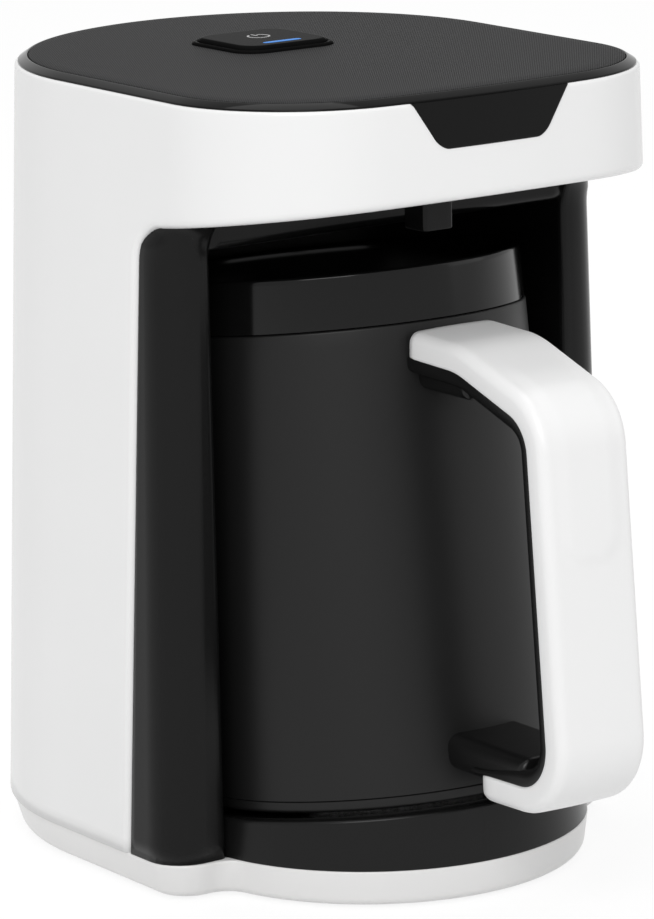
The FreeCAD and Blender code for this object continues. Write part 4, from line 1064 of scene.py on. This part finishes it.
def rounded_path(corners: Array, radii: Sequence[float], spacing: float) -> tuple[Array, Array]:
    """A path of straight runs joined by arcs, as points and directions.

    Args:
        corners: Corner points, in the side view as (y, z).
        radii: Radius of the arc at each inner corner.
        spacing: Distance between points, about.

    Returns:
        The points and the unit directions, in the side view.
    """
    points, ways = [], []
    start = corners[0]
    for index, radius in enumerate(radii):
        before, corner, after = corners[index], corners[index + 1], corners[index + 2]
        u = (corner - before) / np.linalg.norm(corner - before)
        v = (after - corner) / np.linalg.norm(after - corner)
        turn = math.acos(float(np.clip(u @ v, -1, 1)))
        reach = radius * math.tan(turn / 2)
        side = math.copysign(1.0, u[0] * v[1] - u[1] * v[0])
        normal = np.array([-u[1], u[0]]) * side
        first = corner - u * reach
        count = max(2, int(np.linalg.norm(first - start) / spacing))
        share = arc_steps(0.0, 1.0, count)[:-1, None]
        points.append(start + (first - start) * share)
        ways.append(np.broadcast_to(u, (count - 1, 2)))
        steps = max(5, int(radius * turn / spacing * 2))
        angle = arc_steps(0.0, turn, steps)[:-1, None]
        points.append(first + radius * (np.sin(angle) * u + (1 - np.cos(angle)) * normal))
        ways.append(np.cos(angle) * u + np.sin(angle) * normal)
        start = corner + v * reach
    last = corners[-1]
    v = (last - start) / np.linalg.norm(last - start)
    share = arc_steps(0.0, 1.0, max(3, int(np.linalg.norm(last - start) / spacing)))[:, None]
    points.append(start + (last - start) * share)
    ways.append(np.broadcast_to(v, (len(share), 2)))
    return np.concatenate(points), np.concatenate(ways)


@dataclass
class Handle:
    """The handle: a white shell over a black lining, which ends in two lugs on the pot."""

    frame: PotFrame
    half_width: float = 15.0
    thick: float = 7.6
    lining_thick: float = 4.6
    outer_r: float = 3.2
    inner_r: float = 0.8
    pad_rise: float = 0.5
    pad_start: float = 34.0
    pad_end: float = 98.0
    pad_half: float = 9.4
    tip_length: float = 9.0
    nose_length: float = 3.0

    @property
    def corners(self) -> Array:
        """Centre line of the white shell as (y, z) corners in the side view."""
        return np.array([(-39.5, 157.3), (-63.0, 156.6), (-97.3, 145.4), (-106.2, 37.6), (-66.0, 36.6)])

    radii: tuple[float, float, float] = (30.0, 15.0, 17.0)

    def section(self, half: float, low: float, high: float, outer_r: float, inner_r: float) -> Array:
        """A rounded bar's section, as (across, towards the inside of the loop) pairs.

        Args:
            half: Half the width.
            low: Outer face, measured towards the inside.
            high: Inner face.
            outer_r: Radius at the outer edges.
            inner_r: Radius at the inner edges.

        Returns:
            A closed loop of points.
        """
        top = arc_steps(-(half - outer_r), half - outer_r, 13)
        crown = 0.35 * (1 - (top / half) ** 2)
        face = np.stack([top, low - crown + 0.35 * (1 - ((half - outer_r) / half) ** 2)], axis=-1)
        right = corner_arc((half - outer_r, low + outer_r), outer_r, 270, 360, 8)
        right_in = corner_arc((half - inner_r, high - inner_r), inner_r, 0, 90, 5)
        left_in = corner_arc((-half + inner_r, high - inner_r), inner_r, 90, 180, 5)
        left = corner_arc((-half + outer_r, low + outer_r), outer_r, 180, 270, 8)
        return join_profile(face, right[1:], right_in, left_in, left[:-1])

    def sweep(self, loops: Array, points: Array, ways: Array) -> Array:
        """Carry section loops along the handle's path and close both ends at the loop's middle.

        Args:
            loops: One loop for each path point, as (across, inside) pairs.
            points: Path points in the side view.
            ways: Path directions.

        Returns:
            Points as path points by loop points by 3, with one more row at each end.
        """
        ends = [np.repeat(loops[i].mean(axis=0)[None], loops.shape[1], axis=0)[None] for i in (0, -1)]
        loops = np.concatenate([ends[0], loops, ends[1]])
        points = np.concatenate([points[:1], points, points[-1:]])
        ways = np.concatenate([ways[:1], ways, ways[-1:]])
        inward = np.stack([-ways[:, 1], ways[:, 0]], axis=-1)
        y = points[:, None, 0] + loops[..., 1] * inward[:, None, 0]
        z = points[:, None, 1] + loops[..., 1] * inward[:, None, 1]
        return np.stack([loops[..., 0], y, z], axis=-1)

    def white_shell(self) -> bpy.types.Object:
        """White shell: its section shrinks towards the round tip of the lower tongue."""
        points, ways = rounded_path(self.corners, self.radii, 1.6)
        length = np.concatenate([[0.0], np.cumsum(np.linalg.norm(np.diff(points, axis=0), axis=1))])
        total = length[-1]
        half = self.thick / 2
        base = self.section(self.half_width, -half, half, self.outer_r, self.inner_r)
        tip = np.clip((total - length) / self.tip_length, 0.0, 1.0)
        shrink = np.sqrt(np.maximum(1 - (1 - tip) ** 2, 0.0))
        begin = np.clip(length / self.nose_length, 0.0, 1.0)
        start = np.sqrt(np.maximum(1 - (1 - begin) ** 2, 0.0))
        loops = np.repeat(base[None], len(points), axis=0)
        loops[..., 0] *= (0.25 + 0.75 * shrink)[:, None] * (0.75 + 0.25 * start)[:, None]
        loops[..., 1] *= (0.2 + 0.8 * shrink)[:, None] * (0.6 + 0.4 * start)[:, None]
        pad = self._pad(loops[..., 0], length[:, None])
        loops[..., 1] -= np.where(loops[..., 1] < 0, pad, 0.0)
        surface = Surface().add(self.sweep(loops, points, ways), wrap_cols=True)
        piece = surface.piece("handle_cover", sharp_deg=60.0)
        return settle(piece, Finish.HANDLE_WHITE, Body.POT, "handle_white", "handle_shell")

    def _pad(self, across: Array, length: Array) -> Array:
        """Raised thumb pad on the outer face, with soft edges and a round lower end."""
        start, end, half = self.pad_start, self.pad_end, self.pad_half
        past = np.maximum(length - (end - half), 0.0)
        inside = np.sqrt(np.maximum(across ** 2 + past ** 2, 0.0))
        side = 1 - smooth_step(inside, half - 0.5, half + 0.3)
        return self.pad_rise * side * smooth_step(length, start, start + 12.0)

    def lining(self) -> bpy.types.Object:
        """Black lining under the white shell, with rounded inner edges."""
        points, ways = rounded_path(self.corners, self.radii, 1.6)
        half = self.thick / 2
        keep = points[:, 1] > 33.0
        points, ways = points[keep], ways[keep]
        length = np.concatenate([[0.0], np.cumsum(np.linalg.norm(np.diff(points, axis=0), axis=1))])
        share = smooth_step(length[-1] - length, 0.0, 26.0)
        base = self.section(self.half_width - 0.9, half - 0.2, half + self.lining_thick, 0.5, 2.4)
        loops = np.repeat(base[None], len(points), axis=0)
        loops[..., 1] = half - 0.2 + (loops[..., 1] - half + 0.2) * (0.25 + 0.75 * share)[:, None]
        surface = Surface().add(self.sweep(loops, points, ways), wrap_cols=True)
        piece = surface.piece("handle_inner_lining", sharp_deg=60.0)
        return settle(piece, Finish.HANDLE_BLACK, Body.POT, "handle_black", "handle_lining")

    def lug(self, name: str, half: float, low: float, high: float, front: float, back: float,
            radius: float) -> bpy.types.Object:
        """A block with soft long edges between the lining and the pot, as a rounded oblong carried along y.

        Args:
            name: Name of the piece.
            half: Half the width.
            low: Height of the underside.
            high: Height of the top.
            front: Y of the end in the lining.
            back: Y of the end inside the pot's wall.
            radius: Radius of the long edges.

        Returns:
            The lug.
        """
        middle, up = (low + high) / 2, (high - low) / 2
        across, rise = half - radius, up - radius
        loop = np.concatenate([
            corner_arc((sx * across, middle + sz * rise), radius, start, start + 90, 9)
            for sx, sz, start in ((1, -1, 270), (1, 1, 0), (-1, 1, 90), (-1, -1, 180))])
        rows = [(front, 0.02), (front, 0.9), (front + 0.6, 0.985), (front + 1.6, 1.0)]
        rows += [(y, 1.0) for y in arc_steps(front + 2.5, back, 8)] + [(back, 0.02)]
        core = np.array([0.0, middle])
        y, size = np.array(rows).T
        flat = core + (loop - core) * size[:, None, None]
        grid = np.stack([flat[..., 0], np.broadcast_to(y[:, None], flat.shape[:2]), flat[..., 1]], axis=-1)
        piece = Surface().add(grid, wrap_cols=True).piece(name, sharp_deg=50.0)
        return settle(piece, Finish.HANDLE_BLACK, Body.POT, "handle_black", "handle_lining")

    def build(self) -> list[bpy.types.Object]:
        """Build the shell, the lining and the two lugs."""
        upper = self.lug("handle_upper_lug", half=11.0, low=144.0, high=153.0, front=-62.0, back=-37.0,
                         radius=3.0)
        lower = self.lug("handle_lower_lug", half=13.0, low=37.5, high=48.0, front=-88.0, back=-52.5,
                         radius=4.0)
        return [self.white_shell(), self.lining(), upper, lower]


@dataclass
class Head:
    """The top: gloss band and bevel, woven panel, bare drop over the front, and sensor hood."""

    band_out: float = -0.9
    bevel_z: float = 228.7
    panel_out: float = -3.8
    panel_z: float = 230.3
    button_y: float = 49.0
    hole_half: float = 16.9
    hole_r: float = 8.0
    drop_top_half: float = 26.5
    drop_low_half: float = 17.6
    drop_low_z: float = 214.8
    drop_high_z: float = 228.3
    drop_r: float = 3.0
    hood_y: float = -31.0
    hood_half: float = 5.0
    hood_low_z: float = 187.0
    hood_high_z: float = 201.8

    def frame_ring(self) -> bpy.types.Object:
        """Band and bevel: one closed profile carried round the plan."""
        top = self.panel_z - 0.2
        foot = PLAN.top_z - 1.2
        profile = join_profile([(self.panel_out, foot), (-2.6, foot), (-2.6, PLAN.top_z - 0.1)],
                               [(self.band_out, PLAN.top_z + 0.02), (self.band_out, self.bevel_z - 0.25)],
                               corner_arc((self.band_out - 0.3, self.bevel_z - 0.2), 0.3, 0, 60, 5)[1:],
                               corner_arc((self.panel_out + 0.45, top - 0.4), 0.4, 60, 150, 5),
                               [(self.panel_out, top - 0.7)])
        columns = PLAN.whole(24, 9, 41)
        ring = PLAN.ring(profile, columns)
        piece = Surface().add(ring, wrap_rows=True, wrap_cols=True).piece("top_bevel_ring")
        return settle(piece, Finish.PIANO_BLACK, Body.MACHINE, "black_gloss", "top_frame")

    def _by_angle(self, outline: Array, angle: Array) -> Array:
        """Distance of a closed outline from the button's centre in each direction."""
        rel = outline - np.array([0.0, self.button_y])
        own = np.arctan2(rel[:, 0], -rel[:, 1])
        order = np.argsort(own)
        own, far = own[order], np.linalg.norm(rel, axis=1)[order]
        return np.interp(angle, np.concatenate([own - FULL, own, own + FULL]), np.tile(far, 3))

    def panel(self) -> bpy.types.Object:
        """Woven panel: straight lines from its outline to the button's square hole."""
        angle = arc_steps(-math.pi, math.pi, 481)[:-1]
        dense = PLAN.whole(200, 200, 400)
        rows = []
        for inset, z in ((0.0, self.panel_z - 2.0), (0.0, self.panel_z - 0.35), (0.12, self.panel_z - 0.1),
                         (0.4, self.panel_z)):
            outline = PLAN.at(dense, np.array([z]), np.array([self.panel_out - 0.1 - inset]))[0][:, :2]
            rows.append((self._by_angle(outline, angle), z))
        hole = rounded_square(self.hole_half + 0.1, self.hole_r, 40)
        near = self._by_angle(hole + np.array([0.0, self.button_y]), angle)
        far = rows[-1][0]
        for share in arc_steps(0.0, 1.0, 16)[1:]:
            rows.append((far * (1 - share) + near * share, self.panel_z))
        rows.append((near, self.panel_z - 2.0))
        radius = np.stack([row[0] for row in rows])
        z = np.array([row[1] for row in rows])[:, None]
        x, y = radius * np.sin(angle), self.button_y - radius * np.cos(angle)
        grid = np.stack([x, y, np.broadcast_to(z, x.shape)], axis=-1)
        piece = Surface().add(grid, wrap_rows=True, wrap_cols=True).piece("woven_top_panel")
        return settle(piece, Finish.PANEL, Body.MACHINE, "panel_textured", "top_panel")

    def drop(self) -> bpy.types.Object:
        """Bare gloss drop over the front: a trapezoid with round lower corners, slightly proud."""
        low_z, r = self.drop_low_z, self.drop_r
        rise = np.concatenate([r * (1 - np.cos(arc_steps(0.0, QUARTER, 9))),
                               arc_steps(r, self.drop_high_z - low_z, 14)[1:]])
        z = low_z + rise
        flare = self.drop_top_half - self.drop_low_half
        half = self.drop_low_half + flare * rise / (PLAN.top_z - low_z)
        tight = np.clip(r - rise, 0.0, r)
        half = half - (r - np.sqrt(np.maximum(r ** 2 - tight ** 2, 0.0)))
        across = np.sin(arc_steps(-QUARTER, QUARTER, 41))
        x = half[:, None] * across[None]
        inset = np.minimum(half[:, None] - np.abs(x), rise[:, None])
        proud = 0.35 - 0.5 * (1 - np.sqrt(np.clip(1 - (1 - np.clip(inset / 0.5, 0, 1)) ** 2, 0, 1)))
        zz = np.broadcast_to(z[:, None], x.shape)
        front = np.stack([x, PLAN.front_point_y(x, zz, proud), zz], axis=-1)
        back = front.copy()
        back[..., 1] = PLAN.front_point_y(x, zz, np.full_like(x, -1.0))
        surface = Surface().add(front).add(back)
        for edge_a, edge_b in ((front[0], back[0]), (front[-1], back[-1]), (front[:, 0], back[:, 0]),
                               (front[:, -1], back[:, -1])):
            surface.add(np.stack([edge_a, edge_b]))
        piece = surface.piece("front_drop")
        return settle(piece, Finish.PIANO_BLACK, Body.MACHINE, "black_gloss", "top_frame")

    def sensor_hood(self) -> bpy.types.Object:
        """Small square hood under the head, with soft upright edges and a closed floor."""
        low, high = self.hood_low_z, self.hood_high_z
        rows = [(0.05, low), (0.8, low)]
        rows += [(1 - 0.12 * (1 - math.sin(a)), low + 0.6 * (1 - math.cos(a)))
                 for a in arc_steps(0.0, QUARTER, 5)]
        rows += [(1.0, low + 7.0), (1.0, high), (0.05, high)]
        base = rounded_square(self.hood_half, 1.0, 6)
        middle = np.array([0.0, self.hood_y])
        grid = np.stack([at_height(base * scale + middle, z) for scale, z in rows])
        grid[0, :, :2] = middle
        grid[-1, :, :2] = middle
        piece = Surface().add(grid, wrap_cols=True).piece("sensor_hood")
        return settle(piece, Finish.LINER_BLACK, Body.MACHINE, "black_liner", "sensor_housing")

    def build(self) -> list[bpy.types.Object]:
        """Build every fixed piece of the top."""
        return [self.frame_ring(), self.panel(), self.drop(), self.sensor_hood()]


def rounded_square(half: float, radius: float, steps: int) -> Array:
    """A square with round corners about the origin, as a closed loop of pairs.

    Args:
        half: Half the side.
        radius: Corner radius.
        steps: Points on each corner and on each side.

    Returns:
        The points, anticlockwise from the right-hand side.
    """
    parts = []
    reach = half - radius
    for quarter, (sx, sy) in enumerate(((1, -1), (1, 1), (-1, 1), (-1, -1))):
        start = -90 + 90 * quarter
        corner = corner_arc((sx * reach, sy * reach), radius, start, start + 90, steps)
        parts.append(corner)
        nxt = ((1, 1), (-1, 1), (-1, -1), (1, -1))[quarter]
        end = corner_arc((nxt[0] * reach, nxt[1] * reach), radius, start + 90, start + 91, 2)[0]
        share = arc_steps(0.0, 1.0, steps + 1)[1:-1, None]
        parts.append(corner[-1] + (end - corner[-1]) * share)
    return np.concatenate(parts)


@dataclass
class StartButton:
    """The start button in its bezel, with a glowing bar and a printed power mark."""

    centre_y: float = 49.0
    half: float = 15.0
    corner_r: float = 6.0
    top_z: float = 232.2
    skirt_z: float = 228.4
    bezel_half: float = 16.9
    bezel_r: float = 8.0
    bezel_top_z: float = 231.2
    bezel_low_z: float = 227.0
    bar_forward: float = 10.0
    bar_half: float = 6.4
    bar_depth: float = 1.1

    def _stack(self, rows: Sequence[tuple[float, float, float]], steps: int) -> Array:
        """Stack rounded squares of (half side, corner radius, height) about the button's centre."""
        layers = []
        for half, radius, z in rows:
            flat = rounded_square(max(half, 0.01), min(radius, half * 0.9), steps)
            layers.append(at_height(flat + np.array([0.0, self.centre_y]), z))
        return np.stack(layers)

    def bezel(self) -> bpy.types.Object:
        """Gloss bezel round the button, rounded over on top."""
        top, low = self.bezel_top_z, self.bezel_low_z
        over = [(self.bezel_half - 0.6 * (1 - math.cos(a)), self.bezel_r, top - 0.6 + 0.6 * math.sin(a))
                for a in arc_steps(0.0, QUARTER, 6)]
        inner = self.half + 0.3
        into = [(inner + 0.5 * (1 - math.sin(a)), self.corner_r + 0.4, top - 0.5 + 0.5 * math.cos(a))
                for a in arc_steps(0.0, QUARTER, 6)]
        rows = [(self.bezel_half, self.bezel_r, low)] + over + into + [(inner, self.corner_r + 0.3, low)]
        piece = Surface().add(self._stack(rows, 10), wrap_rows=True, wrap_cols=True).piece("button_surround")
        return settle(piece, Finish.BUTTON_BLACK, Body.MACHINE, "black_gloss", "button_bezel")

    def cap(self) -> bpy.types.Object:
        """Gloss cap: straight skirt, rounded edge and a faintly dished top that closes at the middle."""
        r = 1.0
        over = [(self.half - r * (1 - math.cos(a)), self.corner_r, self.top_z - r + r * math.sin(a))
                for a in arc_steps(0.0, QUARTER, 7)]
        top = [(self.half * share, self.corner_r * share, self.top_z)
               for share in (0.9, 0.7, 0.4, 0.1, 0.001)]
        rows = [(0.001, 0.001, self.skirt_z), (self.half * 0.5, 3.0, self.skirt_z),
                (self.half, self.corner_r, self.skirt_z)] + over + top
        piece = Surface().add(self._stack(rows, 10), wrap_cols=True).piece("start_button_cap")
        return settle(piece, Finish.BUTTON_BLACK, Body.BUTTON, "black_gloss", "button_cap")

    def light(self) -> bpy.types.Object:
        """Glowing bar: a long rounded lens that stands just above the cap."""
        y = self.centre_y - self.bar_forward
        angle = np.arange(64) * FULL / 64
        across = np.sign(np.cos(angle)) * np.abs(np.cos(angle)) ** 0.25 * self.bar_half
        along = np.sign(np.sin(angle)) * np.abs(np.sin(angle)) ** 0.6 * self.bar_depth
        rows = [(0.01, self.top_z - 0.5), (1.0, self.top_z - 0.5), (1.0, self.top_z + 0.02),
                (0.92, self.top_z + 0.05), (0.5, self.top_z + 0.06), (0.01, self.top_z + 0.06)]
        grid = np.stack([np.stack([across * s, y + along * s, np.full(64, z)], axis=-1) for s, z in rows])
        piece = Surface().add(grid, wrap_cols=True).piece("status_light_bar")
        return settle(piece, Finish.GLOW, Body.BUTTON, "light_blue", "button_light_bar")

    def build(self) -> list[bpy.types.Object]:
        """Build the bezel, the cap and the light bar."""
        return [self.bezel(), self.cap(), self.light()]


@dataclass
class CordInlet:
    """Inlet gland low in the back wall."""

    z: float = 24.0
    bore_r: float = 3.6
    flange_r: float = 8.0
    neck_r: float = 5.2
    inner_y: float = 117.9
    outer_y: float = 132.5

    def build(self) -> bpy.types.Object:
        """Turn the gland's profile of (radius, depth) round the bore's axis."""
        y = self.outer_y
        profile = join_profile([(self.bore_r, y - 0.5), (self.bore_r + 0.5, y)],
                               corner_arc((self.flange_r - 1.0, y - 1.0), 1.0, 90, 0, 6),
                               [(self.flange_r, y - 5.0), (self.neck_r, y - 5.2),
                                (self.neck_r, self.inner_y + 0.2), (self.bore_r, self.inner_y + 0.2)])
        angle = np.arange(72) * FULL / 72
        x = profile[:, :1] * np.sin(angle)
        z = self.z + profile[:, :1] * np.cos(angle)
        grid = np.stack([x, np.broadcast_to(profile[:, 1:], x.shape), z], axis=-1)
        piece = Surface().add(grid, wrap_rows=True, wrap_cols=True).piece("inlet_gland")
        return settle(piece, Finish.TRAY_BLACK, Body.MACHINE, "black_gloss", "cord_gland")


KEPT_NODES: dict[str, Finish] = {
    "plate_seal": Finish.RUBBER, "heating_plate": Finish.STEEL, "heating_element": Finish.STEEL,
    "element_cover": Finish.STEEL, "thermostat": Finish.CERAMIC, "thermal_fuse": Finish.CERAMIC,
    "button_spring": Finish.STEEL, "button_switch": Finish.INNER_PLASTIC, "indicator_led": Finish.LENS,
    "control_board": Finish.BOARD, "board_screws": Finish.STEEL, "mains_relay": Finish.INNER_PLASTIC,
    "smoothing_capacitor": Finish.INNER_PLASTIC, "supply_inductor": Finish.COPPER_WIRE,
    "buzzer": Finish.INNER_PLASTIC, "board_terminal": Finish.CERAMIC, "wire_harness": Finish.RUBBER,
    "heater_terminal": Finish.CERAMIC, "mains_lead": Finish.RUBBER, "mains_terminal": Finish.CERAMIC,
    "cord_clamp": Finish.LINER_BLACK, "clamp_bar": Finish.LINER_BLACK, "clamp_screws": Finish.STEEL,
    "sensor_window": Finish.LENS, "level_sensor": Finish.STEEL, "rubber_feet": Finish.RUBBER,
    "base_screws": Finish.STEEL, "screw_bosses": Finish.LINER_BLACK, "pot_base_plate": Finish.STEEL,
    "handle_screws": Finish.STEEL, "button_icon": Finish.MARK_GREY,
}


@dataclass
class Studio:
    """Plain pale floor, soft lamps, white surround and the photograph's camera."""

    focal_px: float = 5377.0
    frame_px: tuple[int, int] = (654, 919)
    axis_px: tuple[float, float] = (329.2, 450.0)
    azimuth_deg: float = -34.75
    elevation_deg: float = 12.62
    roll_deg: float = -1.31
    distance: float = 1553.6
    target: tuple[float, float, float] = (0.0, 20.0, 115.0)
    sensor_mm: float = 36.0
    world_light: float = 0.60
    floor_half: float = 6.0
    floor_glow: float = 1.06
    floor_glow_share: float = 0.82

    def camera(self) -> None:
        """Place the camera on a sphere about its target, then roll it about its own view axis."""
        az, el = math.radians(self.azimuth_deg), math.radians(self.elevation_deg)
        away = Vector((math.sin(az) * math.cos(el), -math.cos(az) * math.cos(el), math.sin(el)))
        aim = Vector(shape_to_row(np.array(self.target)))
        data = bpy.data.cameras.new("camera")
        obj = bpy.data.objects.new("camera", data)
        bpy.context.scene.collection.objects.link(obj)
        roll = Matrix.Rotation(math.radians(self.roll_deg), 3, "Z").to_quaternion()
        turn = (-away).to_track_quat("-Z", "Y") @ roll
        obj.matrix_world = Matrix.Translation(aim + away * self.distance * MM) @ turn.to_matrix().to_4x4()
        width, height = self.frame_px
        data.sensor_width = self.sensor_mm
        data.lens = self.focal_px * self.sensor_mm / height
        data.shift_x = (width / 2 - self.axis_px[0]) / height
        data.shift_y = (self.axis_px[1] - height / 2) / height
        data.clip_start, data.clip_end = 0.05, 50.0
        bpy.context.scene.camera = obj

    @staticmethod
    def lamp(name: str, place: Sequence[float], aim: Sequence[float], size: Sequence[float],
             watts: float) -> None:
        """Add one soft rectangular lamp.

        Args:
            name: Name of the lamp.
            place: Where it stands, in metres.
            aim: What it points at, in metres.
            size: Width and height in metres.
            watts: Its power.
        """
        data = bpy.data.lights.new(name, "AREA")
        data.shape = "RECTANGLE"
        data.size, data.size_y = size
        data.energy = watts
        obj = bpy.data.objects.new(name, data)
        bpy.context.scene.collection.objects.link(obj)
        way = Vector(aim) - Vector(place)
        turn = way.to_track_quat("-Z", "Y").to_matrix().to_4x4()
        obj.matrix_world = Matrix.Translation(Vector(place)) @ turn

    @staticmethod
    def _seen_directly(nodes: bpy.types.Nodes, links: bpy.types.NodeLinks) -> bpy.types.NodeSocket:
        """1 for rays that show the surround: from the camera, a reflection or a clear piece."""
        path = nodes.new("ShaderNodeLightPath")
        total = path.outputs["Is Camera Ray"]
        for name in ("Is Glossy Ray", "Is Transmission Ray"):
            node = nodes.new("ShaderNodeMath")
            node.operation = "MAXIMUM"
            links.new(total, node.inputs[0])
            links.new(path.outputs[name], node.inputs[1])
            total = node.outputs[0]
        return total

    def world(self) -> None:
        """White surround for direct sight and reflections, and a softer level for light."""
        world = bpy.data.worlds.new("surround")
        bpy.context.scene.world = world
        world.use_nodes = True
        nodes, links = world.node_tree.nodes, world.node_tree.links
        light = nodes["Background"]
        light.inputs["Color"].default_value = (1.0, 1.0, 1.0, 1.0)
        light.inputs["Strength"].default_value = self.world_light
        seen = nodes.new("ShaderNodeBackground")
        seen.inputs["Strength"].default_value = 1.0
        mix = nodes.new("ShaderNodeMixShader")
        links.new(self._seen_directly(nodes, links), mix.inputs[0])
        links.new(light.outputs[0], mix.inputs[1])
        links.new(seen.outputs[0], mix.inputs[2])
        links.new(mix.outputs[0], nodes["World Output"].inputs["Surface"])

    def floor(self) -> None:
        """Pale floor that keeps a soft share of the object's shadow."""
        half = self.floor_half
        mesh = bpy.data.meshes.new("floor")
        corners = [(-half, -half, 0), (half, -half, 0), (half, half, 0), (-half, half, 0)]
        mesh.from_pydata(corners, [], [(0, 1, 2, 3)])
        obj = bpy.data.objects.new("floor", mesh)
        bpy.context.scene.collection.objects.link(obj)
        material = bpy.data.materials.new("pale_floor")
        material.use_nodes = True
        nodes, links = material.node_tree.nodes, material.node_tree.links
        base = nodes["Principled BSDF"]
        base.inputs["Base Color"].default_value = (0.86, 0.86, 0.86, 1.0)
        base.inputs["Roughness"].default_value = 0.9
        base.inputs["Specular IOR Level"].default_value = 0.0
        glow = nodes.new("ShaderNodeEmission")
        glow.inputs["Strength"].default_value = self.floor_glow
        share = nodes.new("ShaderNodeMath")
        share.operation = "MULTIPLY"
        share.inputs[1].default_value = self.floor_glow_share
        links.new(self._seen_directly(nodes, links), share.inputs[0])
        mix = nodes.new("ShaderNodeMixShader")
        links.new(share.outputs[0], mix.inputs[0])
        links.new(base.outputs[0], mix.inputs[1])
        links.new(glow.outputs[0], mix.inputs[2])
        links.new(mix.outputs[0], nodes["Material Output"].inputs["Surface"])
        mesh.materials.append(material)

    def build(self) -> None:
        """Set up the whole studio."""
        bpy.context.scene.view_settings.view_transform = "Standard"
        self.camera()
        self.world()
        self.floor()
        middle = (0.0, 0.0, 0.12)
        self.lamp("key", (-1.3, -1.5, 1.5), middle, (1.3, 1.3), 25.0)
        self.lamp("fill", (1.7, -1.2, 0.9), middle, (1.2, 1.4), 3.0)
        self.lamp("top", (0.0, 0.3, 2.0), middle, (1.4, 1.4), 10.0)


def main() -> None:
    """Build the pieces in order, dress the kept CAD nodes and set up the studio."""
    logging.basicConfig(level=logging.INFO, format="%(name)s: %(message)s")
    shell = WhiteShell()
    shell.build()
    NicheLiner(shell).build()
    Plinth().build()
    place = PotFrame()
    Tray().build(place)
    Head().build()
    StartButton().build()
    CordInlet().build()
    Pot(place).build()
    Handle(place).build()
    for node, finish in KEPT_NODES.items():
        dress(frame["nodes"][node], finish)
    LOG.info("%d CAD nodes keep their shape", len(KEPT_NODES))
    Studio().build()


if __name__ == "__main__":
    main()
